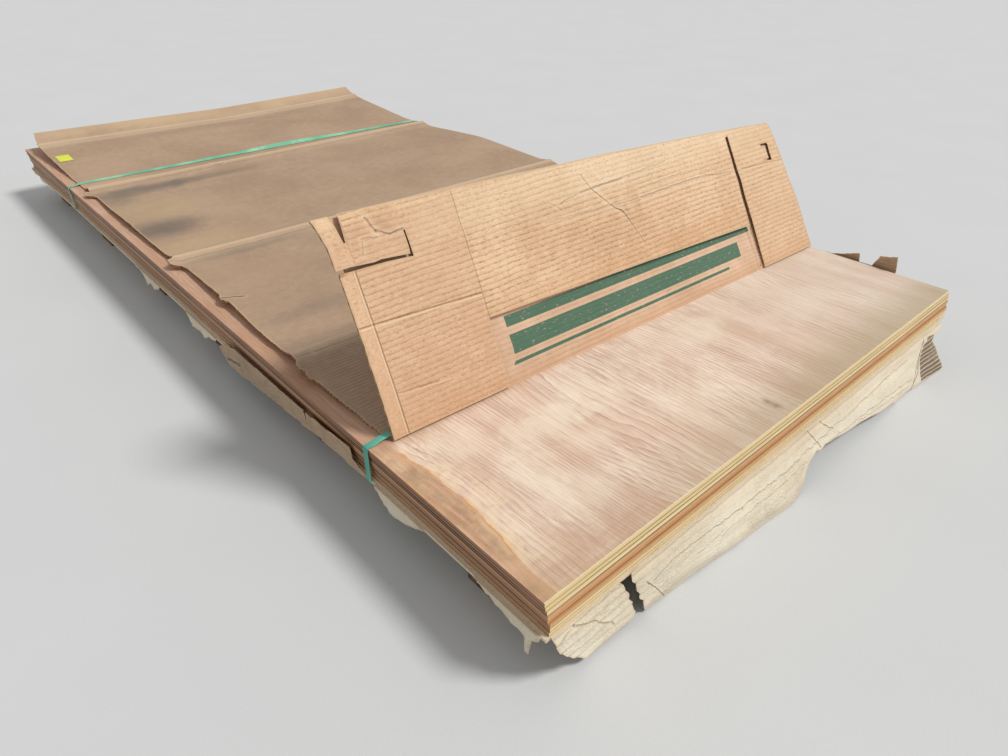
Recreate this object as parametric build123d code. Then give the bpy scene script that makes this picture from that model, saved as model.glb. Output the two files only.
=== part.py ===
from build123d import *
import math
import os

# Strapped stack of plywood sheets on timber bearers, opened at its near end.
# X runs across the sheets, Y along them away from the opened end, and Z is up.
# Sizes are in mm. Places are first worked out from the middle of the top sheet,
# and every piece is written out with the origin under the middle of the third bearer.

os.makedirs("parts", exist_ok=True)

# Sheets: each one's slip from the top one across and along, bottom one first
SHEET_WIDTH = 1220.0
SHEET_LENGTH = 2440.0
SHEET_THICKNESS = 7.5
SHEET_SLIPS = [
    (5.6, -5.0),
    (6.6, -5.2),
    (5.6, -5.6),
    (3.4, -3.0),
    (3.0, -3.4),
    (2.6, -2.4),
    (0.8, -1.0),
    (0.0, 0.0),
]

# Bearers: square timbers across the stack, by the distance of the middle of each
# from the sheets' near edge in the near half and from their far edge in the far half
BEARER_SECTION = 89.0
BEARER_SETBACK = 40.0
BEARER_BREAK = 2.0
BEARER_NEAR_INSETS = [145.0, 650.0, 1080.0]
BEARER_FAR_INSETS = [1000.0, 580.0, 140.0]

# Corrugated boards
PAD_THICKNESS = 4.5
PAD_MARGIN = 1.0
LIP_THICKNESS = 3.0
COVER_THICKNESS = 4.0
FACING_THICKNESS = 4.0
FACING_GAP = 0.3

# Strap bands: the near one runs behind the raised flap, the far one beside the last
# bearer but one
STRAP_WIDTH = 12.7
STRAP_THICKNESS = 0.9
STRAP_CLEARANCE = 0.1
STRAP_FLAP_GAP = 5.2
STRAP_BEARER_GAP = 17.0

# Raised end flap: distance of its foot from the sheets' near edge, and how far its
# top leans back from the foot and rises over the top sheet, at its left and right
FLAP_LEFT_INSET = 39.0
FLAP_LEFT_FOOT = 354.0
FLAP_LEFT_LEAN = 146.0
FLAP_LEFT_RISE = 306.0
FLAP_RIGHT_FOOT = 312.0
FLAP_RIGHT_LEAN = 182.0
FLAP_RIGHT_RISE = 258.0

# Levels, edges and places that the pieces share
PAD_BOTTOM = BEARER_SECTION
PAD_TOP = PAD_BOTTOM + PAD_THICKNESS
STACK_TOP = PAD_TOP + len(SHEET_SLIPS) * SHEET_THICKNESS
SIDE = SHEET_WIDTH / 2
END = SHEET_LENGTH / 2
OVERRUN = SHEET_LENGTH
PAD_LEFT = -SIDE - PAD_MARGIN
PAD_RIGHT = SIDE + max(slip[0] for slip in SHEET_SLIPS) + PAD_MARGIN
PAD_NEAR = -END + min(slip[1] for slip in SHEET_SLIPS) - PAD_MARGIN
PAD_FAR = END
FLAP_LEFT = -SIDE + FLAP_LEFT_INSET
FLAP_RIGHT = SIDE
FLAP_LAYERS = FACING_THICKNESS + FACING_GAP + COVER_THICKNESS
BEARER_PLACES = [inset - END for inset in BEARER_NEAR_INSETS] + [END - inset for inset in BEARER_FAR_INSETS]
STRAP_NEAR_PLACE = FLAP_LEFT_FOOT - END + FLAP_LAYERS + STRAP_FLAP_GAP + STRAP_WIDTH / 2
STRAP_FAR_PLACE = BEARER_PLACES[-2] + BEARER_SECTION / 2 + STRAP_BEARER_GAP + STRAP_WIDTH / 2
ORIGIN_PLACE = BEARER_PLACES[2]

# Cover: the bent line of its underside at its left edge, midway and at its right edge,
# as (distance from the sheets' near edge, height over the top sheet) up to its middle
# crease, the height of the bay beyond it, and (distance from the far edge, height)
COVER_LEFT = -SIDE + 22.0
COVER_RIGHT = SIDE - 6.0
COVER_MIDDLE = (COVER_LEFT + COVER_RIGHT) / 2
COVER_LINES = {
    COVER_LEFT: (
        [(390, 0), (520, 5), (660, 12), (700, 6), (920, 12), (1160, 5), (1205, 13), (1250, 5)],
        10,
        [(645, 1), (600, 9), (565, 0), (460, 0), (370, 5), (130, 24), (108, 31), (86, 29), (15, 46)],
    ),
    COVER_MIDDLE: (
        [(390, 0), (515, 2), (653, 8), (693, 3), (920, 4), (1155, 1), (1200, 9), (1245, 2)],
        4,
        [(635, 0), (582, 7), (548, 0), (460, 0), (365, 2), (125, 16), (102, 22), (80, 21), (12, 37)],
    ),
    COVER_RIGHT: (
        [(390, 0), (500, 4), (645, 12), (685, 5), (920, 10), (1145, 4), (1192, 13), (1238, 6)],
        18,
        [(620, 1), (568, 9), (538, 0), (450, 0), (360, 5), (115, 25), (92, 32), (70, 31), (20, 50)],
    ),
}

# Cover: its outline in plan, by insets from the sheets' left and near edges, or from
# their right and far edges where negative
COVER_OUTLINE = [
    (FLAP_LEFT_INSET, 220), (FLAP_LEFT_INSET, 372), (33, 430), (26, 565), (30, 660), (26, 790), (35, 920),
    (30, 1040), (38, 1158), (24, 1180), (23, 1198), (35, 1216), (27, 1340), (34, -664), (23, -648),
    (24, -628), (32, -616), (29, -460), (24, -240), (23, -100), (38, -5), (-6, -5), (-11, -160),
    (-7, -420), (-13, 1540), (-7, 1100), (-11, 600), (-7, 520), (-6, 220),
]

# Back layer of the raised flap: how far in its left edge stands and down to what
# height it is cut free, and how far its top stays under the facing's
BACK_LAYER_INSET = 15.0
BACK_LAYER_CUT = 30.0
BACK_LAYER_DROP = 6.0

# Facing of the raised flap: the height of its foot, the (height, bulge) of its bend
# by place across, and the shapes through it as (inset from its left edge, or from its
# right edge where negative, and height over the top sheet)
FACING_FOOT = 3.4
FACING_BENDS = {FLAP_LEFT: (153.0, 7.0), FLAP_LEFT + 35.0: (152.0, 3.0), FLAP_RIGHT: (183.0, 4.0)}
WINDOW = [(226, -30), (226, 110), (-211, 87), (-211, -30)]
SLOT = [(-218, 80), (-189, 251), (-177, 253), (-208, 80)]
SEAM = [(224.5, 105), (226.5, 105), (228, 267), (226.5, 267)]
TAB_SLIT = [(0, 233.5), (0, 237), (123, 230), (123, 260), (126, 260), (126, 227)]
HAND_HOLE = [(-57, 224), (-30, 220), (-47, 189), (-52, 190), (-35, 218), (-57, 221)]

# Hanging end flap of the pad: how far out its foot stands by place across, its
# ripples as (share of its drop from the foot, push outwards), and its torn outline as
# (inset from the pad's left edge, or from its right edge where negative, and height
# over the pad's underside)
HANG_FEET = {
    PAD_LEFT: 6.4,
    PAD_LEFT + 171.0: 7.4,
    PAD_LEFT + 346.0: 19.4,
    PAD_LEFT + 537.0: 35.4,
    PAD_LEFT + 671.0: 27.4,
    PAD_RIGHT - 209.0: 26.4,
    PAD_RIGHT - 58.0: 41.4,
    PAD_RIGHT: 39.4,
}
HANG_RIPPLES = [(0.35, 3.0), (0.7, -1.5)]
HANG_LAP = 30.0
FLOOR_GAP = 1.0
HANG_OUTLINE = [
    (7, 30), (7, 4.5), (17, -30), (40, -60), (66, -82), (84, -88), (141, -86), (170, -83), (164, -56),
    (149, -28), (131, 6), (152, -2), (163, -26), (175, -54), (186, -96), (551, -96), (589, -84),
    (611, -54), (639, -44), (655, -52), (673, -48), (811, -68), (-238, -96), (-69, -96), (-41, -86),
    (-57, -56), (-66, -28), (-44, -2), (-12, 30),
]

# Boards of the pad that stand or hang along its sides, as (inset from its near edge,
# or from its far edge where negative, and height over its underside)
LEFT_FLANGE = [
    (391, 0.5), (391, 8), (421, 15), (427, 39), (497, 33), (568, 26), (570, -1), (574, -1), (577, 27),
    (727, 24), (844, 22), (882, 14), (914, 2), (931, -9), (921, -23), (897, -33), (831, -31), (707, -21),
    (577, -11), (532, -6),
]
HAND_SLOT = [(902, -18), (837, -6), (835, -13), (899, -25)]
LEFT_LIPS = [
    [(365, 3.5), (363, -5), (343, -19), (322, -27), (297, -23), (272, -15), (242, 0), (242, 3.5)],
    [(132, 3.5), (127, -1), (87, -11), (52, -17), (35, -19), (31, -43), (24, -42), (22, -17), (11, -9),
     (8, 3.5)],
    [(942, 3.5), (949, -7), (987, -13), (1012, -27), (1037, -19), (1077, -25), (1097, -5), (1109, 3.5)],
    [(1257, 3.5), (1272, -10), (1307, -23), (1327, -13), (1349, -27), (1377, -5), (1412, -1), (1417, 3.5)],
    [(-290, 3.5), (-270, -7), (-230, -5), (-210, -19), (-190, -5), (-120, -13), (-100, 0), (-40, -7),
     (-20, 3.5)],
]
RIGHT_FLANGE = [
    (322, 0.5), (322, 54), (306, 58), (272, 61), (244, 69), (212, 81), (206, 61), (178, 61), (166, 88),
    (130, 97), (124, 64), (119, 24), (119, 0.5),
]

# Lot label on the cover's long rise, by its insets from the cover's left edge and the
# sheets' far edge
LABEL_WIDTH = 38.0
LABEL_LENGTH = 60.0
LABEL_THICKNESS = 0.3
LABEL_GAP = 0.1
LABEL_LEFT_INSET = 16.0
LABEL_FAR_INSET = 234.0


def place(low, high, inset):
    """Place at an inset from the low edge, or from the high edge where it is negative."""
    return low + inset if inset >= 0 else high + inset


def mix(start, stop, share):
    """Number or point at a share of the way between two."""
    if isinstance(start, tuple):
        return tuple(mix(a, b, share) for a, b in zip(start, stop))
    return start + share * (stop - start)


def prism(corners, along):
    """Prism from the closed outline of the given corners, along a vector."""
    wire = Wire.make_polygon([Vector(*corner) for corner in corners], close=True)
    return extrude(Face(wire), amount=Vector(*along).length, dir=along)


def bent_strip(line, thickness):
    """Outline of a sheet of one thickness that lies on the left of the bent (y, z) line."""
    headings = [math.atan2(b[1] - a[1], b[0] - a[0]) for a, b in zip(line, line[1:])]
    upper = []
    for index, (y, z) in enumerate(line):
        before = headings[max(index - 1, 0)]
        after = headings[min(index, len(headings) - 1)]
        turn = (after - before + math.pi) % math.tau - math.pi
        normal = before + turn / 2 + math.pi / 2
        reach = thickness / math.cos(turn / 2)
        upper.append((y + reach * math.cos(normal), z + reach * math.sin(normal)))
    return list(line) + upper[::-1]


def ruled(outlines):
    """Solid ruled through outlines of equal point counts, given as {x: (y, z) points}."""
    sections = []
    for x in sorted(outlines):
        sections.append(Face(Wire.make_polygon([Vector(x, y, z) for y, z in outlines[x]], close=True)))
    return loft(sections, ruled=True)


def flap_line(x):
    """Foot and top (y, z) of the flap's front face where x cuts it."""
    share = (x - FLAP_LEFT) / (FLAP_RIGHT - FLAP_LEFT)
    foot = mix(FLAP_LEFT_FOOT, FLAP_RIGHT_FOOT, share) - END
    lean = mix(FLAP_LEFT_LEAN, FLAP_RIGHT_LEAN, share)
    rise = mix(FLAP_LEFT_RISE, FLAP_RIGHT_RISE, share)
    return (foot, STACK_TOP), (foot + lean, STACK_TOP + rise)


def along_flap(x, height):
    """Point (y, z) at a height over the top sheet on the flap's front face where x cuts it."""
    foot, top = flap_line(x)
    return mix(foot, top, height / (top[1] - foot[1]))


def through_flap(shape):
    """Prism through the flap, whose outline is (inset, height over the top sheet)."""
    corners = [(place(FLAP_LEFT, FLAP_RIGHT, inset), -END, STACK_TOP + height) for inset, height in shape]
    return prism(corners, (0, END, 0))


def side_board(outline, x, thickness):
    """Upright board along Y outside x, whose outline is (inset, height over the pad's underside)."""
    corners = [(x, place(PAD_NEAR, PAD_FAR, inset), PAD_BOTTOM + height) for inset, height in outline]
    return prism(corners, (math.copysign(thickness, x), 0, 0))


def sheet(number):
    """One plywood sheet, by its number from the bottom."""
    across, along = SHEET_SLIPS[number]
    body = Box(SHEET_WIDTH, SHEET_LENGTH, SHEET_THICKNESS, align=(Align.CENTER, Align.CENTER, Align.MIN))
    return Pos(across, along, PAD_TOP + number * SHEET_THICKNESS) * body


def bearer(y):
    """Square timber across the stack, its long arrises broken."""
    length = SHEET_WIDTH - 2 * BEARER_SETBACK
    body = Box(length, BEARER_SECTION, BEARER_SECTION, align=(Align.CENTER, Align.CENTER, Align.MIN))
    return Pos(0, y, 0) * chamfer(body.edges().filter_by(Axis.X), BEARER_BREAK)


def strap(y):
    """Closed flat band drawn taut round the pad, the sheets and the cover."""
    corners = [(PAD_LEFT, PAD_BOTTOM), (PAD_RIGHT, PAD_BOTTOM), (PAD_LEFT, PAD_TOP), (PAD_RIGHT, PAD_TOP)]
    for number, (across, _) in enumerate(SHEET_SLIPS, start=1):
        corners += [(across - SIDE, PAD_TOP + number * SHEET_THICKNESS)]
        corners += [(across + SIDE, PAD_TOP + number * SHEET_THICKNESS)]
    corners += [(COVER_LEFT, STACK_TOP + COVER_THICKNESS), (COVER_RIGHT, STACK_TOP + COVER_THICKNESS)]
    load = make_hull(Polyline(*corners).edges())
    ring = offset(load, amount=STRAP_CLEARANCE + STRAP_THICKNESS, kind=Kind.ARC)
    ring -= offset(load, amount=STRAP_CLEARANCE, kind=Kind.ARC)
    return extrude(Plane.XZ.offset(-y - STRAP_WIDTH / 2) * ring, amount=STRAP_WIDTH)


def cover_outlines():
    """Outlines of the cover and the back layer of its raised flap, by the x of each."""
    outlines = {}
    for x, (near, bay, far) in COVER_LINES.items():
        line = [(inset - END, STACK_TOP + height) for inset, height in near]
        beyond = [(END - inset, STACK_TOP + height) for inset, height in far]
        line += [(mix(line[-1][0], beyond[0][0], 0.5), STACK_TOP + bay)] + beyond
        foot, top = flap_line(x)
        upright = math.atan2(top[1] - foot[1], top[0] - foot[0])
        fold = foot[0] + (FACING_THICKNESS + FACING_GAP) / math.sin(upright)
        crest = along_flap(x, top[1] - foot[1] - BACK_LAYER_DROP)
        crest = (crest[0] + fold - foot[0], crest[1])
        outlines[x] = bent_strip([crest, (fold, STACK_TOP)] + line, COVER_THICKNESS)
    return outlines


def on_cover(x, y):
    """Point of the upper face of the cover's left half."""
    outlines = cover_outlines()
    left, middle = outlines[COVER_LEFT][::-1], outlines[COVER_MIDDLE][::-1]
    share = (x - COVER_LEFT) / (COVER_MIDDLE - COVER_LEFT)
    upper = [mix(a, b, share) for a, b in zip(left, middle)]
    for start, stop in zip(upper, upper[1:]):
        if start[0] <= y <= stop[0]:
            return Vector(x, *mix(start, stop, (y - start[0]) / (stop[0] - start[0])))


def top_cover():
    """Creased cover, curled at its far end, with the back layer of its raised flap."""
    corners = [(place(-SIDE, SIDE, across), place(-END, END, along), 0) for across, along in COVER_OUTLINE]
    body = ruled(cover_outlines()) & prism(corners, (0, 0, OVERRUN))
    spare = Box(OVERRUN, OVERRUN, OVERRUN, align=(Align.MAX, Align.MAX, Align.MIN))
    return body - Pos(FLAP_LEFT + BACK_LAYER_INSET, -END / 2, STACK_TOP + BACK_LAYER_CUT) * spare


def flap_facing():
    """Printed facing in front of the flap's back layer, with its window, slot and slits."""
    outlines = {}
    for x, (height, bulge) in FACING_BENDS.items():
        bend = along_flap(x, height)
        line = [flap_line(x)[1], (bend[0] - bulge, bend[1]), along_flap(x, FACING_FOOT)]
        outlines[x] = bent_strip(line, FACING_THICKNESS)
    body = ruled(outlines)
    for shape in (WINDOW, SLOT, SEAM, TAB_SLIT, HAND_HOLE):
        body -= through_flap(shape)
    return body


def hanging_flap():
    """Torn end flap of the pad, folded down from its near edge to the floor."""
    outlines = {}
    for x, reach in HANG_FEET.items():
        foot = (PAD_NEAR - reach, FLOOR_GAP)
        fold = (PAD_NEAR - PAD_THICKNESS / 2, PAD_BOTTOM - PAD_THICKNESS / 2)
        line = [foot]
        for share, push in HANG_RIPPLES:
            y, z = mix(foot, fold, share)
            line.append((y - push, z))
        outlines[x] = bent_strip(line + [fold, (PAD_NEAR + HANG_LAP, PAD_BOTTOM)], PAD_THICKNESS)
    corners = []
    for inset, height in HANG_OUTLINE:
        corners.append((place(PAD_LEFT, PAD_RIGHT, inset), -OVERRUN, PAD_BOTTOM + height))
    return ruled(outlines) & prism(corners, (0, OVERRUN, 0))


def bottom_pad():
    """Pad under the sheets with its hanging end flap and the torn lips along its left side."""
    plate = Box(PAD_RIGHT - PAD_LEFT, PAD_FAR - PAD_NEAR, PAD_THICKNESS, align=Align.MIN)
    body = Pos(PAD_LEFT, PAD_NEAR, PAD_BOTTOM) * plate + hanging_flap()
    for lip in LEFT_LIPS:
        body += side_board(lip, PAD_LEFT, LIP_THICKNESS)
    return body


def lot_label():
    """Blank label lying on the cover."""
    left = COVER_LEFT + LABEL_LEFT_INSET
    near = END - LABEL_FAR_INSET - LABEL_LENGTH
    corner = on_cover(left, near)
    across = on_cover(left + LABEL_WIDTH, near) - corner
    along = on_cover(left, near + LABEL_LENGTH) - corner
    face = Plane(origin=corner, x_dir=across, z_dir=across.cross(along))
    return face * Pos(0, 0, LABEL_GAP) * Box(LABEL_WIDTH, LABEL_LENGTH, LABEL_THICKNESS, align=Align.MIN)


if __name__ == "__main__":
    pieces = {f"sheet_{number + 1:02d}": sheet(number) for number in range(len(SHEET_SLIPS))}
    pieces.update({f"bearer_{number + 1:02d}": bearer(y) for number, y in enumerate(BEARER_PLACES)})
    pieces["bottom_pad"] = bottom_pad()
    flange = side_board(LEFT_FLANGE, PAD_LEFT, PAD_THICKNESS)
    pieces["left_flange"] = flange - side_board(HAND_SLOT, PAD_LEFT, PAD_THICKNESS)
    pieces["right_flange"] = side_board(RIGHT_FLANGE, PAD_RIGHT, PAD_THICKNESS)
    pieces["top_cover"] = top_cover()
    pieces["flap_facing"] = flap_facing()
    pieces["strap_near"] = strap(STRAP_NEAR_PLACE)
    pieces["strap_far"] = strap(STRAP_FAR_PLACE)
    pieces["lot_label"] = lot_label()
    for name, piece in pieces.items():
        export_step(Pos(0, -ORIGIN_PLACE, 0) * piece, f"parts/{name}.step")
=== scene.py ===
import bmesh
import bpy
import logging
import math
import numpy as np
from dataclasses import dataclass
from enum import Enum
from mathutils import Matrix, Vector, kdtree, noise
from mathutils.bvhtree import BVHTree
from typing import Callable


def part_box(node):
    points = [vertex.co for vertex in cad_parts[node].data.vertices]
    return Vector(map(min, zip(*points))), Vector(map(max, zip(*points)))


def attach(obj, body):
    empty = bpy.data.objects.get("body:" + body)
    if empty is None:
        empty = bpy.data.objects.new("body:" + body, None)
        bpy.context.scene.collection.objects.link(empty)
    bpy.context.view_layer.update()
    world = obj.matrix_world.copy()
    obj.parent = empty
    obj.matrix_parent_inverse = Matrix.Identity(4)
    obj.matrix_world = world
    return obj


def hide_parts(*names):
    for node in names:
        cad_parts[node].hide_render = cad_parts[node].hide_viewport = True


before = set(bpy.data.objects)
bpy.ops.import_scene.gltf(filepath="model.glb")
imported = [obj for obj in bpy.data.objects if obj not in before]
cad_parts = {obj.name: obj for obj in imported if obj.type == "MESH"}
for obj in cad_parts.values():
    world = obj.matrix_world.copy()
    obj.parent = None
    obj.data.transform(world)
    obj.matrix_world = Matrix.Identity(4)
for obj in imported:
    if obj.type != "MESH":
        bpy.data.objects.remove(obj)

# Looks of a strapped stack of plywood sheets on bearers, opened at its near end.
# Metres, in the frame's own axes: X across the sheets, Y along them, Z up.
MM = 0.001
SIDE = 0.610
NEAR_EDGE = -1.080
FAR_EDGE = 1.360
PAD_BOTTOM = 0.089
PAD_TOP = 0.0935
SHEET = 0.0075
STACK_TOP = 0.1535
PAD_LEFT = -0.611
PAD_RIGHT = 0.6176
PAD_NEAR = -1.0866
STRAP_NEAR_Y = -0.7065
STRAP_FAR_Y = 0.8478
FLUTE = 0.0082
FLAT = 0.0002
FLOOR_GAP = 0.0012
PLY_COUNT = 5.0
SMOOTH_ANGLE = 34
TOUCH = 1e-6
WELD = 1e-5
BODY = "root"

Socket = bpy.types.NodeSocket
Sockets = dict[str, Socket]
Material = bpy.types.Material
Piece = bpy.types.Object
Colour = tuple[float, float, float, float]
Point2 = tuple[float, float]
Point3 = tuple[float, float, float]
Array = np.ndarray
log = logging.getLogger("stack")


def rgb(red: int, green: int, blue: int) -> Colour:
    """Linear colour of a display colour.

    Args:
        red: Its red in steps of 255.
        green: Its green.
        blue: Its blue.

    Returns:
        The colour with full alpha.
    """
    steps = [value / 255 for value in (red, green, blue)]
    linear = [value / 12.92 if value <= 0.04045 else ((value + 0.055) / 1.055) ** 2.4 for value in steps]
    return (*linear, 1.0)


# ---- node trees


class Graph:
    """Adds nodes to one node tree and links them.

    Args:
        tree: The material's or the group's node tree.
    """

    def __init__(self, tree: bpy.types.NodeTree) -> None:
        """Keeps the tree."""
        self.tree = tree

    def feed(self, slot: Socket, value: object) -> None:
        """Links a socket to an input, or sets the input's constant.

        Args:
            slot: The input.
            value: A socket or a constant. None leaves the input as it is.
        """
        if isinstance(value, Socket):
            self.tree.links.new(value, slot)
        elif value is not None:
            slot.default_value = value

    def add(self, kind: str, values: dict | None = None, **settings: object) -> bpy.types.Node:
        """Adds one node.

        Args:
            kind: The node's type name, without its leading ShaderNode.
            values: A constant or a socket for each input, by its name or index.
            settings: The node's own properties.

        Returns:
            The node.
        """
        node = self.tree.nodes.new("ShaderNode" + kind)
        for key, value in settings.items():
            setattr(node, key, value)
        for key, value in (values or {}).items():
            self.feed(node.inputs[key], value)
        return node

    def math(self, operation: str, *values: Socket | float) -> Socket:
        """One Math node's result."""
        return self.add("Math", dict(enumerate(values)), operation=operation).outputs[0]

    def vector(self, operation: str, *values: object) -> bpy.types.Node:
        """One Vector Math node."""
        return self.add("VectorMath", dict(enumerate(values)), operation=operation)

    def scaled(self, vector: Socket, factors: Point3) -> Socket:
        """The vector with each axis scaled."""
        return self.vector("MULTIPLY", vector, factors).outputs[0]

    def axes(self, vector: Socket) -> bpy.types.NodeOutputs:
        """The vector's X, Y and Z."""
        return self.add("SeparateXYZ", {0: vector}).outputs

    def times(self, value: Socket | float, factor: Socket | float) -> Socket:
        """The product of two values."""
        return self.math("MULTIPLY", value, factor)

    def times_add(self, value: Socket | float, factor: Socket | float, more: Socket | float) -> Socket:
        """The product of two values, and a third added to it."""
        return self.math("MULTIPLY_ADD", value, factor, more)

    def off(self, value: Socket | float, middle: float = 0.5) -> Socket:
        """How far a value lies from the middle, without its sign."""
        return self.math("ABSOLUTE", self.math("SUBTRACT", value, middle))

    def noise(
        self, vector: Socket, scale: float, detail: float = 2.0, rough: float = 0.5, warp: float = 0.0
    ) -> Socket:
        """Noise from 0 to 1 at a point."""
        values = {"Vector": vector, "Scale": scale, "Detail": detail, "Roughness": rough, "Distortion": warp}
        return self.add("TexNoise", values).outputs[0]

    def grain(self, vector: Socket, factors: Point3, *settings: float) -> Socket:
        """Noise drawn out by a factor along each axis, with its detail, roughness and warp."""
        return self.noise(self.scaled(vector, factors), 1.0, *settings)

    def span(
        self, value: Socket | float, low: float, high: float, start: float = 0.0, stop: float = 1.0
    ) -> Socket:
        """The value, smoothly moved from the range low to high into start to stop, and held there."""
        values = {0: value, 1: low, 2: high, 3: start, 4: stop}
        return self.add("MapRange", values, interpolation_type="SMOOTHSTEP").outputs[0]

    def mix(self, share: Socket | float, first: object, second: object, blend: str = "MIX") -> Socket:
        """A colour or a value mixed from two.

        Args:
            share: The second one's share.
            first: The first colour, as a socket or a constant.
            second: The second colour.
            blend: How they are blended.

        Returns:
            The mixed colour.
        """
        values = {"Factor": share, 6: first, 7: second}
        return self.add("Mix", values, data_type="RGBA", blend_type=blend).outputs[2]

    def tint(self, colour: Socket, mask: Socket, strength: Socket | float, tint: object) -> Socket:
        """The colour, covered with a tint where the mask says, as far as the strength goes."""
        return self.mix(self.times(mask, strength), colour, tint)

    def bump(self, height: Socket, depth: float = 1.0) -> Socket:
        """A normal bumped by a height, times a depth in metres."""
        return self.add("Bump", {"Height": height, "Distance": depth, "Strength": 1.0}).outputs[0]


Wiring = Callable[[Graph, Sockets], Sockets]


@dataclass(frozen=True)
class SharedGroup:
    """A shader node group that is made at its first use and then shared.

    Attributes:
        name: The group's name.
        inputs: Each input's default: a number, a vector, or None for a vector without one.
        outputs: The outputs' names. Each is a number.
        wiring: Wires the inside, from the input sockets to the output sockets.
    """

    name: str
    inputs: dict[str, float | Point3 | None]
    outputs: tuple[str, ...]
    wiring: Wiring

    def tree(self) -> bpy.types.NodeTree:
        """Makes the group, unless it is there.

        Returns:
            The group's node tree.
        """
        tree = bpy.data.node_groups.get(self.name)
        if tree:
            return tree
        tree = bpy.data.node_groups.new(self.name, "ShaderNodeTree")
        for label, default in self.inputs.items():
            kind = "NodeSocketFloat" if isinstance(default, float) else "NodeSocketVector"
            socket = tree.interface.new_socket(name=label, in_out="INPUT", socket_type=kind)
            if default is not None:
                socket.default_value = default
        for label in self.outputs:
            tree.interface.new_socket(name=label, in_out="OUTPUT", socket_type="NodeSocketFloat")
        entry = tree.nodes.new("NodeGroupInput")
        leave = tree.nodes.new("NodeGroupOutput")
        given = {label: entry.outputs[label] for label in self.inputs}
        for label, socket in self.wiring(Graph(tree), given).items():
            tree.links.new(socket, leave.inputs[label])
        return tree


def wire_flutes(g: Graph, given: Sockets) -> Sockets:
    """Washboard lines of corrugated board: the liner sinks a little between its flutes; the Line output
    paints shade in the valleys, with worn scuffs there.

    Args:
        g: The group's graph.
        given: Its input sockets.

    Returns:
        A socket for each output.
    """
    along = g.axes(given["Vector"])[1]
    drift = g.noise(given["Vector"], 9.0, 2.0)
    jitter = g.grain(given["Vector"], (70.0, 160.0, 1.0), 3.0, 0.6)
    turns = g.times_add(drift, 0.7, g.times_add(jitter, 0.35, g.math("DIVIDE", along, given["Pitch"])))
    wave = g.math("COSINE", g.times(turns, math.tau))
    crest = g.math("POWER", g.times_add(wave, 0.5, 0.5), 0.42)
    patches = g.span(g.noise(given["Vector"], 5.0, 3.0), 0.38, 0.66)
    dashes = g.span(g.grain(given["Vector"], (95.0, 210.0, 1.0), 3.0, 0.6), 0.46, 0.6)
    valley = g.math("SUBTRACT", 1.0, crest)
    # Painted shade in the flute valleys.
    shade = g.times(g.span(valley, 0.22, 0.8), g.times_add(dashes, 0.4, 0.2))
    worn = g.times(g.span(valley, 0.72, 0.95), g.times(patches, dashes))
    height = g.times(crest, g.times_add(patches, 0.5, 0.5))
    return {"Height": height, "Line": g.math("MAXIMUM", worn, shade)}


FLUTES = SharedGroup("flute_lines", {"Vector": None, "Pitch": 0.009}, ("Height", "Line"), wire_flutes)


def wire_mottle(g: Graph, given: Sockets) -> Sockets:
    """Uneven tone of paper and wood: soft clouds, finer spots and a fibre fleck.

    Args:
        g: The group's graph.
        given: Its input sockets.

    Returns:
        A socket for each output.
    """
    clouds = g.noise(given["Vector"], 4.0, 5.0, 0.55, 0.4)
    spots = g.noise(given["Vector"], 46.0, 4.0, 0.6)
    fleck = g.grain(given["Vector"], (330.0, 900.0, 400.0), 2.0, 0.6)
    tone = g.times_add(clouds, 0.55, g.times_add(spots, 0.28, g.times(fleck, 0.17)))
    return {"Tone": g.span(tone, 0.36, 0.64), "Clouds": g.span(clouds, 0.32, 0.68), "Fleck": fleck}


MOTTLE = SharedGroup("mottle", {"Vector": None}, ("Tone", "Clouds", "Fleck"), wire_mottle)


def wire_stain(g: Graph, given: Sockets) -> Sockets:
    """Soft ragged stain round a centre, with its own radius along each axis.

    Args:
        g: The group's graph.
        given: Its input sockets.

    Returns:
        A socket for each output.
    """
    offset = g.vector("SUBTRACT", given["Vector"], given["Centre"]).outputs[0]
    away = g.vector("LENGTH", g.vector("DIVIDE", offset, given["Radius"]).outputs[0]).outputs[1]
    ragged = g.noise(given["Vector"], 13.0, 5.0, 0.62, 0.6)
    reach = g.times_add(g.math("SUBTRACT", ragged, 0.5), given["Ragged"], away)
    drawn = g.vector("MULTIPLY", given["Vector"], given["Streak"]).outputs[0]
    streaks = g.noise(drawn, 1.0, 4.0, 0.6)
    return {"Mask": g.times(g.span(reach, 1.15, 0.25), g.span(streaks, 0.3, 0.6, 0.45, 1.0))}


STAIN = SharedGroup(
    "ragged_stain",
    {"Vector": None, "Centre": None, "Radius": None, "Streak": (11.0, 90.0, 1.0), "Ragged": 2.2},
    ("Mask",), wire_stain,
)


def wire_score(g: Graph, given: Sockets) -> Sockets:
    """Crease, crack or scratch along a straight stretch between two points of a flat pattern.

    Args:
        g: The group's graph.
        given: Its input sockets.

    Returns:
        A socket for each output.
    """
    sway = g.vector("SCALE", given["Shake"])
    g.tree.links.new(given["Sway"], sway.inputs["Scale"])
    point = g.vector("ADD", given["Vector"], sway.outputs[0]).outputs[0]
    run = g.vector("SUBTRACT", given["End"], given["Start"]).outputs[0]
    reach = g.vector("SUBTRACT", point, given["Start"]).outputs[0]
    along, whole = (g.vector("DOT_PRODUCT", arm, run).outputs[1] for arm in (reach, run))
    share = g.math("MINIMUM", g.math("MAXIMUM", g.math("DIVIDE", along, whole), 0.0), 1.0)
    foot = g.vector("SCALE", run)
    g.tree.links.new(share, foot.inputs["Scale"])
    away = g.vector("LENGTH", g.vector("SUBTRACT", reach, foot.outputs[0]).outputs[0]).outputs[1]
    far = g.math("DIVIDE", away, given["Width"])
    return {"Mask": g.span(far, 1.0, 0.2), "Halo": g.span(far, 5.0, 0.5)}


SCORE = SharedGroup(
    "score_line", {"Vector": None, "Shake": None, "Start": None, "End": None, "Width": 0.001, "Sway": 0.004},
    ("Mask", "Halo"), wire_score,
)


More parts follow.
